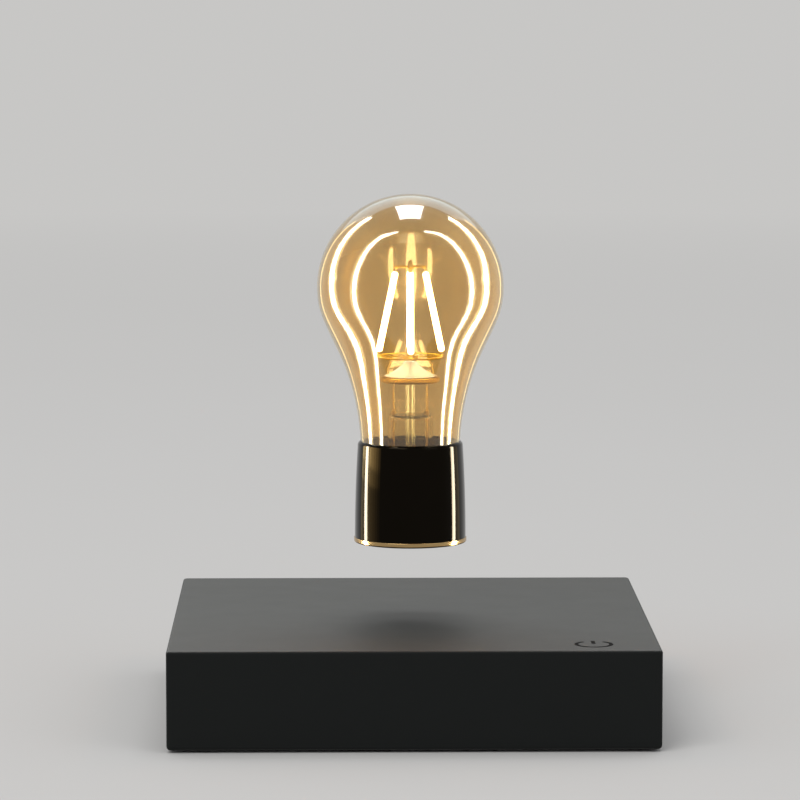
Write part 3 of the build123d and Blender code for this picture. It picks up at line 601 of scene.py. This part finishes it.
def glass_outline(inset):
    """Points of the glass from the crown down to the end of the neck, moved in by inset."""
    ball = arc((0, ball_z), ball_radius - inset, quarter_turn, -leave_angle, steps=90)
    start, end = half_turn - leave_angle, half_turn - neck_draft
    waist = arc(waist_centre, waist_radius + inset, start, end, steps=40)
    foot = (neck_outside(neck_end) - inset / draft_cos, neck_end)
    points = run([(0, ball[0][1])], ball[1:], waist, line(waist[-1], foot, steps=6))
    return eased(points, len(ball) - 1)


def make_glass_globe():
    """The blown shell, cut flat at the end of its neck."""
    mesh = turned(run(glass_outline(0), reversed(glass_outline(glass_wall))), round_glass, closed=False)
    return piece("globe_glass", mesh, "amber_glass", "bulb", ["glass_globe"])


def make_cap():
    """The mirror cup: a slow swell, a rolled shoulder and a lip round the neck."""
    hole_radius, top_radius, swell_radius = 16.1 * mm, 16.95 * mm, 17.6 * mm
    swell_share, swell_steps = 0.55, 40
    shoulder_height, shoulder_curve = 1.3 * mm, 1.4 * mm
    middle = (swell_radius, cap_foot + swell_share * (cap_top - cap_foot))
    shoulder_foot = (top_radius, cap_top - shoulder_height)
    swell = arc_through((cap_foot_radius, rim_top), middle, shoulder_foot, swell_steps)
    outer = run(swell, bulged(shoulder_foot, (hole_radius, cap_top), shoulder_curve, steps=14))
    inner = [(r - cap_wall, z) for r, z in reversed(swell)]
    inner[0] = (top_radius - cap_wall, cap_top - cap_wall)
    mesh = turned(run(outer, [(hole_radius, cap_top - cap_wall)], inner), round_metal)
    return piece("cap_mirror", mesh, "black_chrome", "bulb", ["cap_shell"], sharp=35)


def make_rim():
    """The brass lip below the cap, with its spigot inside."""
    foot_edge, top_edge, bore_edge = 0.5 * mm, 0.25 * mm, 0.15 * mm
    bore_radius, step_width, step_depth = 15.15 * mm, 1.0 * mm, 1.15 * mm
    spigot_gap = 0.15 * mm
    lip_radius, spigot_top = high("cap_rim").x, high("cap_rim").z
    spigot_radius = cap_foot_radius - cap_wall - spigot_gap
    step_radius = bore_radius + step_width
    profile = run(
        arc((lip_radius - foot_edge, cap_foot + foot_edge), foot_edge, -quarter_turn, 0, steps=10),
        arc((lip_radius - top_edge, rim_top - top_edge), top_edge, 0, quarter_turn, steps=8),
        [(spigot_radius, rim_top), (spigot_radius, spigot_top), (bore_radius, spigot_top)],
        [(bore_radius, cap_foot + step_depth), (step_radius, cap_foot + step_depth)],
        [(step_radius, cap_foot + bore_edge), (step_radius + bore_edge, cap_foot)],
    )
    mesh = turned(profile, round_metal)
    return piece("rim_lip", mesh, "rim_brass", "bulb", ["cap_rim"])


def stem_dome():
    """The slightly fallen top of the stem, from the tube out to the shoulder."""
    steps = 8
    outer_radius = stem_radius - stem_shoulder_radius * (1 - cos(radians(stem_dome_angle)))
    drop = stem_dome_drop + stem_shoulder_radius * (1 - sin(radians(stem_dome_angle)))
    points = []
    for i in range(steps + 1):
        share = i / steps
        points.append((tube_hole + (outer_radius - tube_hole) * share, stem_top - drop * share**2))
    return points


def make_stem():
    """The stem: a flared skirt, a straight throat, a soft dome and a pulled seal round each lead."""
    wall = 1.0 * mm
    seal_radii = (1.5 * mm, 1.05 * mm, 0.72 * mm, 0.56 * mm, 0.52 * mm)
    seal_heights = (-0.7 * mm, -0.1 * mm, 0.5 * mm, 1.3 * mm, 1.5 * mm)
    skirt_radius = neck_outside(neck_end) - glass_wall / draft_cos - slip
    flare = skirt_radius - stem_radius
    flare_centre = (skirt_radius, neck_end + wall + flare)
    inner_shoulder = stem_shoulder_radius - wall
    shoulder_z = stem_top - stem_dome_drop - stem_shoulder_radius
    shoulder_centre = (stem_radius - stem_shoulder_radius, shoulder_z)
    profile = run(
        arc(flare_centre, flare + wall, -quarter_turn, -half_turn, steps=18),
        arc(shoulder_centre, inner_shoulder, 0, quarter_turn, steps=8),
        [(tube_hole, shoulder_z + inner_shoulder), (tube_hole, stem_top)],
        stem_dome(),
        arc(shoulder_centre, stem_shoulder_radius, stem_dome_angle, 0, steps=10),
        arc(flare_centre, flare, -half_turn, -quarter_turn, steps=18),
    )
    mesh = turned(profile, round_metal)
    seal = [(radius, stem_top + height) for radius, height in zip(seal_radii, seal_heights)]
    for side in (1, -1):
        lathe(mesh, seal, round_small, (side * lead_ring_radius, 0), closed=False)
    piece("stem_glass", mesh, "clear_glass", "bulb", ["glass_stem"])


def make_tube():
    """The fine exhaust tube with its melted-off tail."""
    bore_radius, tail_wall = 0.85 * mm, 0.6 * mm
    tail_z = tube_low + tube_radius
    profile = run(
        arc((0, tail_z), tube_radius, -quarter_turn, 0, steps=12),
        [(tube_radius, tube_high), (bore_radius, tube_high)],
        arc((0, tail_z + tail_wall), bore_radius, 0, -quarter_turn, steps=10),
    )
    mesh = turned(profile, round_small, closed=False)
    return piece("stem_tube", mesh, "clear_glass", "bulb", ["exhaust_tube"], finish="drawn_glass")


def make_rod():
    """The rod up to the crown, with a collar that stands on the tube."""
    collar_height, collar_edge = 2.2 * mm, 0.6 * mm
    fillet_width, fillet_low, fillet_high, fillet_radius = 0.15 * mm, 0.2 * mm, 0.9 * mm, 1.2 * mm
    collar_low = low("support_rod").z
    collar_top = collar_low + collar_height
    fillet_foot = (rod_radius + fillet_width, collar_top + fillet_low)
    profile = run(
        [(0, collar_low), (tube_radius, collar_low)],
        arc((tube_radius - collar_edge, collar_top - collar_edge), collar_edge, 0, 60, steps=6),
        bulged(fillet_foot, (rod_radius, collar_top + fillet_high), fillet_radius, steps=5),
        [(rod_radius, rod_top), (0, rod_top)],
    )
    mesh = turned(profile, round_small, closed=False)
    piece("stem_rod", mesh, "clear_glass", "bulb", ["support_rod"], finish="drawn_glass")


def make_bead():
    """The melted end of the rod, above the crown."""
    radius = 0.9 * mm
    top = high("top_bead").z
    profile = [(0, rod_top)]
    for angle in range(0, quarter_turn, 9):
        profile.append((radius * cos(radians(angle)), rod_top + (top - rod_top) * sin(radians(angle))))
    profile.append((0, top))
    mesh = turned(profile, round_small, closed=False)
    piece("stem_bead", mesh, "clear_glass", "bulb", ["top_bead"], finish="drawn_glass")


def four_arms(mesh, start, end, width, height, z):
    """Flat arms that reach towards the four filaments."""
    edge = 0.12 * mm
    length = end - start
    for turn in filament_sides.values():
        spin = Matrix.Rotation(radians(turn), 4, "Z")
        slab(mesh, spin @ Matrix.Translation((start + length / 2, 0, z)), (length, width, height), edge)


def four_welds(mesh, reach, z, radius):
    """Beads of weld on the arms, where the four filaments end."""
    for turn in filament_sides.values():
        place = Matrix.Rotation(radians(turn), 4, "Z") @ Vector((reach, 0, 0))
        weld_bead(mesh, place.x, place.y, z, radius)


def make_ring():
    """The spoked ring that the feet of the filaments are welded to."""
    width, edge = 0.9 * mm, 0.25 * mm
    hub_radius, hub_edge = 2.5 * mm, 0.2 * mm
    spoke_start, spoke_width, spoke_share = 2.3 * mm, 0.8 * mm, 0.8
    weld_radius, weld_sink = 0.75 * mm, 0.1 * mm
    outer = high("lower_ring").x
    mesh = turned(round_box(outer - width, outer, ring_high - ring_height, ring_high, edge), round_metal)
    lathe(mesh, round_box(tube_hole, hub_radius, ring_low, ring_high, hub_edge), round_hub)
    middle, spoke_height = outer - width / 2, ring_height * spoke_share
    four_arms(mesh, spoke_start, middle, spoke_width, spoke_height, ring_high - ring_height / 2)
    four_welds(mesh, filament_foot_radius, ring_high - weld_sink, weld_radius)
    piece("ring_gilt", mesh, "ring_brass", "bulb", ["lower_ring"])


def make_crown():
    """Four flat arms on a collar, with a bead of weld at each filament's head."""
    hub_radius, hub_edge = 1.8 * mm, 0.15 * mm
    arm_start, arm_width, arm_past = 1.6 * mm, 1.1 * mm, 0.4 * mm
    weld_radius, weld_rise = 0.7 * mm, 0.15 * mm
    mesh = turned(round_box(rod_radius + slip, hub_radius, crown_low, crown_high, hub_edge), round_small)
    arm_end, middle_height = filament_head_radius + arm_past, (crown_low + crown_high) / 2
    four_arms(mesh, arm_start, arm_end, arm_width, crown_high - crown_low, middle_height)
    four_welds(mesh, filament_head_radius, crown_low + weld_rise, weld_radius)
    piece("crown_gilt", mesh, "ring_brass", "bulb", ["top_crown"])


def make_struts():
    """Two bowed wires from the foot of the cone up to the ring."""
    foot_reach, bow_reach, head_reach = 7.4 * mm, 6.8 * mm, 5.4 * mm
    foot_rise, head_rise = 0.45 * mm, 0.15 * mm
    wire_radius, weld_radius = 0.28 * mm, 0.5 * mm
    foot_z = disc_high + foot_rise
    head_z = ring_high - ring_height + head_rise
    mesh = bmesh.new()
    for side in (1, -1):
        foot = (side * foot_reach, foot_z)
        bow = (side * bow_reach, (foot_z + head_z) / 2)
        head = (side * head_reach, head_z)
        points = [(x, 0, z) for x, z in arc_through(foot, bow, head, steps=16)]
        tube(mesh, points, [wire_radius] * len(points), round_strut)
        weld_bead(mesh, foot[0], 0, foot_z, weld_radius)
    piece("strut_wires", mesh, "lead_nickel", "bulb", ["ring_struts"])


def make_disc():
    """The gilt disc with its rolled edge, hollow below."""
    hollow_rise, lip_rise = 0.5 * mm, 0.1 * mm
    radius = high("reflector_disc").x
    roll = (disc_high - disc_low) / 2
    profile = run(
        arc((radius - roll, disc_low + roll), roll, -quarter_turn, quarter_turn, steps=16),
        [(radius - 2.2 * roll, disc_high), (tube_hole, disc_high), (tube_hole, disc_low + hollow_rise)],
        [(radius - 3 * roll, disc_low + hollow_rise), (radius - 2 * roll, disc_low + lip_rise)],
    )
    mesh = turned(profile, round_metal)
    piece("disc_gilt", mesh, "ring_brass", "bulb", ["reflector_disc"])


def make_cone():
    """The white flared cone on the disc."""
    foot_trim, foot_rise, foot_edge = 0.7 * mm, 0.3 * mm, 0.1 * mm
    middle_radius, head_radius, top_radius, head_drop = 4.3 * mm, 1.9 * mm, 1.75 * mm, 0.15 * mm
    top = high("reflector_cone").z
    foot_radius = high("reflector_cone").x - foot_trim
    foot, head = (foot_radius, disc_high + foot_rise), (head_radius, top - head_drop)
    profile = run(
        [(tube_hole, disc_high), (foot_radius - foot_edge, disc_high)],
        arc_through(foot, (middle_radius, (disc_high + top) / 2), head, steps=28),
        [(top_radius, top), (tube_hole, top)],
    )
    mesh = turned(profile, round_metal)
    return piece("cone_white", mesh, "reflector_white", "bulb", ["reflector_cone"], sharp=40)


def make_leads():
    """The two lead wires: thick through the stem, a knuckle, then fine wire to the disc."""
    foot_radius, knuckle_foot, knuckle_head = 0.42 * mm, 0.62 * mm, 0.55 * mm
    wire_foot, wire_head = 0.33 * mm, 0.3 * mm
    taper, knuckle_height = 0.1 * mm, 0.9 * mm
    weld_radius, weld_rise, weld_squash = 0.78 * mm, 0.5 * mm, 0.55
    bottom, top = low("lead_wires").z, high("lead_wires").z
    knuckle_top = stem_top + knuckle_height
    heights = (bottom, stem_top, stem_top + taper, knuckle_top, knuckle_top + taper, top)
    radii = (foot_radius, foot_radius, knuckle_foot, knuckle_head, wire_foot, wire_head)
    mesh = bmesh.new()
    for side in (1, -1):
        x = side * lead_ring_radius
        tube(mesh, [(x, 0, z) for z in heights], radii, round_wire)
        weld_bead(mesh, x, 0, stem_top + weld_rise, weld_radius, weld_squash)
    piece("lead_pair", mesh, "lead_nickel", "bulb", ["lead_wires"])


def filament_place(turn):
    """Where the filament on that side stands, and its length.

    Its local Z runs up the filament, and X along the circle.
    """
    spin = Matrix.Rotation(radians(turn), 3, "Z")
    foot = spin @ Vector((filament_foot_radius, 0, 0)) + Vector((0, 0, ring_high))
    head = spin @ Vector((filament_head_radius, 0, 0)) + Vector((0, 0, crown_low))
    way = (head - foot).normalized()
    across = (spin @ Vector((0, 1, 0))).normalized()
    rows = Matrix((across, way.cross(across), way)).transposed().to_4x4()
    return Matrix.Translation(foot) @ rows, (head - foot).length


def make_filament(side, turn):
    """One coated strip, oval, with rounded ends and a slightly uneven coat."""
    radius, flat, steps = 1.08 * mm, 0.92, 60
    round_length, tip_share, coat_share, end_share = 0.8 * mm, 0.35, 0.98, 0.9
    fine_swell, fine_pace, slow_swell, slow_pace = 0.02, 2.4, 0.015, 0.9
    place, length = filament_place(turn)
    start, end = filament_tab_length, length - filament_tab_length
    points, radii = [], []
    for i in range(steps + 1):
        z = start + (end - start) * i / steps
        from_end = min(z - start, end - z)
        round_end = (1 - (1 - min(1.0, from_end / round_length)) ** 2) ** 0.5
        share = (tip_share + (1 - tip_share) * round_end) * (coat_share if from_end else end_share)
        swell = 1 + fine_swell * sin(i * fine_pace + turn) + slow_swell * sin(i * slow_pace)
        points.append((0, 0, z))
        radii.append(radius * swell * share)
    mesh = bmesh.new()
    tube(mesh, points, radii, round_coat, flat)
    mesh.transform(place)
    piece(f"strip_{side}", mesh, "filament_phosphor", "bulb", [f"filament_{side}"], sharp=50)


def make_tabs():
    """The metal ends of the filaments."""
    width, thickness, edge, sink = 1.2 * mm, 0.3 * mm, 0.06 * mm, 0.1 * mm
    from_end = filament_tab_length / 2 + sink
    mesh = bmesh.new()
    for turn in filament_sides.values():
        place, length = filament_place(turn)
        for z in (from_end, length - from_end):
            size = (width, thickness, filament_tab_length)
            slab(mesh, place @ Matrix.Translation((0, 0, z)), size, edge)
    piece("strip_tabs", mesh, "lead_nickel", "bulb", ["filament_tabs"])


def make_screws():
    """Pan-head screws in the bottom plate, with a cross recess."""
    head_radius, head_height, head_edge = 2.9 * mm, 1.2 * mm, 0.35 * mm
    shank_radius, point_length = 1.2 * mm, 0.5 * mm
    slot_half, slot_reach, slot_depth, slot_taper = 0.36 * mm, 1.6 * mm, 0.7 * mm, 0.7
    head_low, tip = low("plate_screws").z, high("plate_screws").z
    inset = high("plate_screws").x - head_radius
    profile = arc((head_radius - head_edge, head_low + head_edge), head_edge, -quarter_turn, 0, steps=6)
    profile += [(head_radius, head_low + head_height), (shank_radius, head_low + head_height)]
    profile += [(shank_radius, tip - point_length), (0, tip)]
    cross = []
    for turn in range(45, full_turn, quarter_turn):
        spin = Matrix.Rotation(radians(turn), 2)
        for corner in ((slot_reach, -slot_half), (slot_reach, slot_half), (slot_half, slot_half)):
            cross.append(spin @ Vector(corner))
    count = len(cross)
    floor_z = head_low + slot_depth
    mesh = bmesh.new()
    for x in (-inset, inset):
        for y in (-inset, inset):
            before = set(mesh.edges)
            lathe(mesh, profile, round_small, (x, y), closed=False)
            rim_edges = [e for e in mesh.edges if e not in before and len(e.link_faces) == 1]
            upper = [mesh.verts.new((x + a, y + b, head_low)) for a, b in cross]
            lower = [mesh.verts.new((x + a * slot_taper, y + b * slot_taper, floor_z)) for a, b in cross]
            slot_edges = [mesh.edges.new((upper[i], upper[(i + 1) % count])) for i in range(count)]
            bmesh.ops.triangle_fill(mesh, use_beauty=True, edges=rim_edges + slot_edges)
            bridge(mesh, upper, lower)
            mesh.faces.new(lower)
    piece("plate_screw_heads", mesh, "screw_steel", "base", ["plate_screws"])


def ribbon(mesh, inner, outer, bottom, top):
    """A thin raised strip between two rows of points."""
    rows = []
    for a, b in zip(inner, outer):
        corners = ((a, bottom), (a, top), (b, top), (b, bottom))
        rows.append([mesh.verts.new((*point, z)) for point, z in corners])
    for first, second in zip(rows, rows[1:]):
        bridge(mesh, first, second)
    mesh.faces.new(rows[0])
    mesh.faces.new(list(reversed(rows[-1])))


def make_touch_mark():
    """The printed power mark over the touch pad: an open ring and a bar."""
    ring_radius, line_width, thickness = 5.4 * mm, 1.25 * mm, 0.03 * mm
    gap_angle, bar_start, steps = 34, 0.6 * mm, 64
    pad_low, pad_high = low("touch_pad"), high("touch_pad")
    x, y = (pad_low.x + pad_high.x) / 2, (pad_low.y + pad_high.y) / 2
    left, right = x - line_width / 2, x + line_width / 2
    inner_radius, outer_radius = ring_radius - line_width / 2, ring_radius + line_width / 2
    start, end = quarter_turn + gap_angle, quarter_turn + full_turn - gap_angle
    inner, outer = (arc((x, y), radius, start, end, steps) for radius in (inner_radius, outer_radius))
    bar_low, bar_high = y + bar_start, y + outer_radius
    ink = (base_top, base_top + thickness)
    mesh = bmesh.new()
    ribbon(mesh, inner, outer, *ink)
    ribbon(mesh, [(left, bar_low), (left, bar_high)], [(right, bar_low), (right, bar_high)], *ink)
    piece("touch_mark", mesh, "matte_black", "base", finish="touch_print")


globe = make_glass_globe()
cap = make_cap()
rim = make_rim()
make_stem()
stem_tube = make_tube()
make_rod()
make_bead()
make_ring()
make_struts()
make_disc()
cone = make_cone()
make_leads()
make_crown()
for filament_side, filament_turn in filament_sides.items():
    make_filament(filament_side, filament_turn)
make_tabs()
make_screws()
make_touch_mark()

# Studio: a pale floor and a backdrop of one tone
pale = (0.575, 0.57, 0.56)
daylight = (0.98, 0.985, 1.0)
daylight_strength = 0.58
seen_directly = ("Is Camera Ray", "Is Glossy Ray", "Is Transmission Ray")


def floor_finish():
    """The floor takes shadows near the object, is one plain tone far away, and is clear from below."""
    fade_start, fade_end, cloud_size = 0.7, 2.6, 0.5
    finish = Finish("floor", Roughness=0.9, Specular_IOR_Level=0.0)
    cloud = finish.grain(cloud_size, detail=2.0)
    finish.colour(cloud, shade(pale, 1.03), shade(pale, 1.06))
    distance = finish.node("ShaderNodeVectorMath")
    distance.operation = "LENGTH"
    finish.link(finish.place(), distance.inputs[0])
    fade = finish.between(distance.outputs["Value"], 0.0, 1.0, fade_start, fade_end)
    far = finish.maths("MULTIPLY", fade, finish.rays(*seen_directly))
    tone = finish.node("ShaderNodeEmission", Color=(*pale, 1))
    above = finish.mixed(far, finish.shader.outputs["BSDF"], tone.outputs["Emission"])
    geometry = finish.node("ShaderNodeNewGeometry")
    clear = finish.node("ShaderNodeBsdfTransparent")
    finish.surface(finish.mixed(geometry.outputs["Backfacing"], above, clear.outputs["BSDF"]))
    return finish


def make_floor():
    """A wide flat floor that faces up and isn't mirrored in the object."""
    radius, steps = 14.0, 14
    mesh = turned(line((0, 0), (radius, 0), steps), round_floor, closed=False)
    mesh.normal_update()
    if sum(face.normal.z for face in mesh.faces) < 0:
        bmesh.ops.reverse_faces(mesh, faces=mesh.faces)
    made = mesh_object("floor", mesh)
    made.data.materials.append(floor_finish().material)
    made.visible_glossy = False


def make_world():
    """Soft daylight from all round, seen directly as the same pale tone as the floor."""
    world = bpy.data.worlds.new("studio")
    scene.world = world
    world.use_nodes = True
    sky = Nodes(world.node_tree)
    light = sky.tree.nodes["Background"]
    light.inputs["Color"].default_value = (*daylight, 1)
    light.inputs["Strength"].default_value = daylight_strength
    seen = sky.node("ShaderNodeBackground", Color=(*pale, 1))
    whole = sky.mixed(sky.rays(*seen_directly), light.outputs[0], seen.outputs[0])
    sky.link(whole, sky.tree.nodes["World Output"].inputs["Surface"])


make_floor()
make_world()

# Lamps
warm = (1.0, 0.93, 0.76)
gold = (1.0, 0.76, 0.34)
cool = (0.2, 0.36, 1.0)
middle_z = 0.08


def gathered(name, things):
    """A collection of the things that a lamp lights or leaves out."""
    lit = bpy.data.collections.new(name + "_lit")
    for thing in things:
        lit.objects.link(thing)
    return lit


def lamp(name, place, across, upright, size, radiance, colour, only=(), never=()):
    """A rectangular lamp at a place, with its width and height along two directions.

    only names the pieces that it lights, and never those that it leaves out. A lamp for some pieces only
    isn't seen through glass, so it leaves no second image on the far side of the bulb.
    """
    data = bpy.data.lights.new(name, "AREA")
    data.shape = "RECTANGLE"
    data.size, data.size_y = size
    data.energy = radiance * pi * size[0] * size[1]
    data.color = colour
    made = in_scene(name, data)
    rows = Matrix((across, upright, across.cross(upright)))
    made.matrix_world = Matrix.Translation(place) @ rows.transposed().to_4x4()
    made.visible_camera = False
    made.visible_transmission = not only
    if only or never:
        lit = gathered(name, only or never)
        if never:
            for row in lit.collection_objects:
                row.light_linking.link_state = "EXCLUDE"
        made.light_linking.receiver_collection = lit


def softbox(name, azimuth, elevation, distance, size, radiance, colour, only=(), never=()):
    """A lamp that faces the middle of the object. Azimuth runs from the front towards +X."""
    a, e = radians(azimuth), radians(elevation)
    way = Vector((sin(a) * cos(e), -cos(a) * cos(e), sin(e)))
    across = Vector((cos(a), sin(a), 0))
    place = Vector((0, 0, middle_z)) + way * distance
    lamp(name, place, across, way.cross(across), size, radiance, colour, only, never)


def strip(name, foot, head, width, radiance, colour, only):
    """A long narrow lamp from foot to head that faces the bulb."""
    foot, head = Vector(foot), Vector(head)
    upright = (head - foot).normalized()
    middle = (foot + head) / 2
    out = middle - Vector((0, 0, ball_z))
    out = (out - upright * out.dot(upright)).normalized()
    size = (width, (head - foot).length)
    lamp(name, middle, upright.cross(out), upright, size, radiance, colour, only)


def post(name, x, y, heights, width, radiance, colour, only):
    """A strip that stands upright between two heights."""
    strip(name, (x, y, heights[0]), (x, y, heights[1]), width, radiance, colour, only)


softbox("key", -35, 48, 4.5, (2.6, 2.1), 3.4, (1.0, 0.99, 0.97), never=[globe])
softbox("fill", 50, 35, 4.5, (2.2, 1.8), 1.0, (0.97, 0.98, 1.0), never=[globe])
softbox("overhead", 180, 78, 3.5, (2.4, 2.0), 1.8, (1.0, 1.0, 1.0), never=[globe])

# Strips beside the bulb: their reflections are the long lines that follow the glass and the cap.
# The depth of each bend goes with the height in the same place.
sides = {"left": -1, "right": 1}
reach = 0.18
below = -0.11
outer_bends = {"left": (0.018, 0.057, 0.186), "right": (0.014, 0.032, 0.161)}
outer_heights = (below, 0.153, 0.44)
inner_bends = {"left": (-0.070, -0.070, -0.081, -0.19), "right": (-0.050, -0.050, -0.061, -0.17)}
inner_heights = (below, 0.33, 0.46, 0.9)
halo_gap = 0.01
halo_share = 2.3


def bends(sign, depths, heights):
    """The points where the strips on one side bend."""
    return [Vector((sign * reach, y, z)) for y, z in zip(depths, heights)]


def routed(name, side, points, width, radiance):
    """A core of bright strips through the points, and a wide dim halo behind it."""
    behind = Vector((sides[side] * halo_gap, 0, 0))
    for part, (first, last) in enumerate(zip(points, points[1:])):
        past = (last - first).normalized() * width / 3
        foot, head = first - past, last + past
        tag = f"{name}_{part}_{side}"
        strip(tag, foot, head, width, radiance, warm, [globe])
        strip(tag + "_halo", foot + behind, head + behind, halo_share * width, radiance / 8, gold, [globe])


for side, sign in sides.items():
    outer = bends(sign, outer_bends[side], outer_heights)
    inner = bends(sign, inner_bends[side], inner_heights)
    routed("outer", side, outer, 0.024, 42)
    routed("inner", side, inner, 0.017, 42)
    post(f"rim_glow_{side}", sign * 0.3, 0.26, (below, 0.5), 0.2, 0.32, gold, [globe])
    post(f"rim_line_{side}", sign * 0.24, 0.32, (below, 0.4), 0.02, 3.2, gold, [globe])
    post(f"tube_line_{side}", sign * reach, -0.06, (0.02, 0.14), 0.12, 220, cool, [stem_tube])
    strip(f"cap_line_{side}", outer[0], outer[1], 0.029, 70, warm, [cap, rim])

# The glow beside the lines on the cap: strong at its top left, faint below and on the right.
# Its left side has one share of the full strength between each two heights.
glow_x = 0.19
glow_shares = {(-0.05, 0.060): 0.16, (0.060, 0.070): 0.45, (0.070, 0.16): 1.0}
band_x, band_start, band_pitch, band_width = -0.2, 0.011, 0.022, 0.0225
band_radiances = (17, 15, 11, 6.5, 2.6)
for step, (heights, share) in enumerate(glow_shares.items()):
    post(f"cap_halo_left_{step}", -glow_x, 0.06, heights, 0.1, 9 * share, gold, [cap])
    for band, radiance in enumerate(band_radiances):
        y = band_start - band_pitch * band
        post(f"cap_band_{step}_{band}", band_x, y, heights, band_width, radiance * share, gold, [cap])
post("cap_halo_right", glow_x, 0.05, (below, 0.15), 0.1, 0.8, gold, [cap])

# The pane and the cool band that the top of the glass mirrors
softbox("pane", 180, 70, 1.3, (0.38, 0.6), 18, (0.95, 0.97, 1.0), [globe])
softbox("top_band", 180, 38, 3.0, (3.4, 1.6), 1.0, (0.62, 0.85, 1.0), [globe])

# The sheen of the base's top, which the bulb and its cap shade in front of them
cover = [frame["nodes"]["base_cover"]]
sheen = (1.0, 1.0, 0.98)
for elevation, radiance in ((25, 1.3), (35, 6.0), (55, 22.0), (65, 9.7)):
    softbox(f"top_sheen_{elevation}", 174, elevation, 3.0, (3.2, 0.53), radiance, sheen, cover)
softbox("top_sheen_left", 218, 30, 0.65, (0.3, 0.3), 8.0, sheen, cover)


def make_inner_glow():
    """The light of the filaments on the white cone, gathered in one small lamp."""
    rise = 6 * mm
    data = bpy.data.lights.new("inner_glow", "POINT")
    data.shadow_soft_size = 3 * mm
    data.energy = 0.15
    data.color = (0.42, 0.6, 1.0)
    made = in_scene("inner_glow", data)
    made.location = (0, 0, ring_high + rise)
    made.visible_camera = False
    made.visible_glossy = False
    made.visible_transmission = False
    lit = gathered("inner_glow", [cone])
    made.light_linking.receiver_collection = lit
    made.light_linking.blocker_collection = lit
    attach(made, "bulb")


def make_camera():
    """The camera, fitted to the corners of the base and the outline of the bulb."""
    tilt_down, turn_right = 6.109, 0.885
    data = bpy.data.cameras.new("camera")
    data.lens = 188.5
    data.clip_start = 0.01
    data.clip_end = 50
    made = in_scene("camera", data)
    made.location = (-24.0 * mm, -1339.2 * mm, 243.9 * mm)
    made.rotation_euler = (radians(quarter_turn - tilt_down), 0, radians(-turn_right))
    scene.camera = made


make_inner_glow()
make_camera()

scene.view_settings.view_transform = "Standard"
scene.cycles.max_bounces = 16
scene.cycles.transmission_bounces = 14
scene.cycles.transparent_max_bounces = 16
scene.cycles.glossy_bounces = 6
scene.cycles.caustics_reflective = False
scene.cycles.caustics_refractive = False
scene.cycles.sample_clamp_indirect = 12
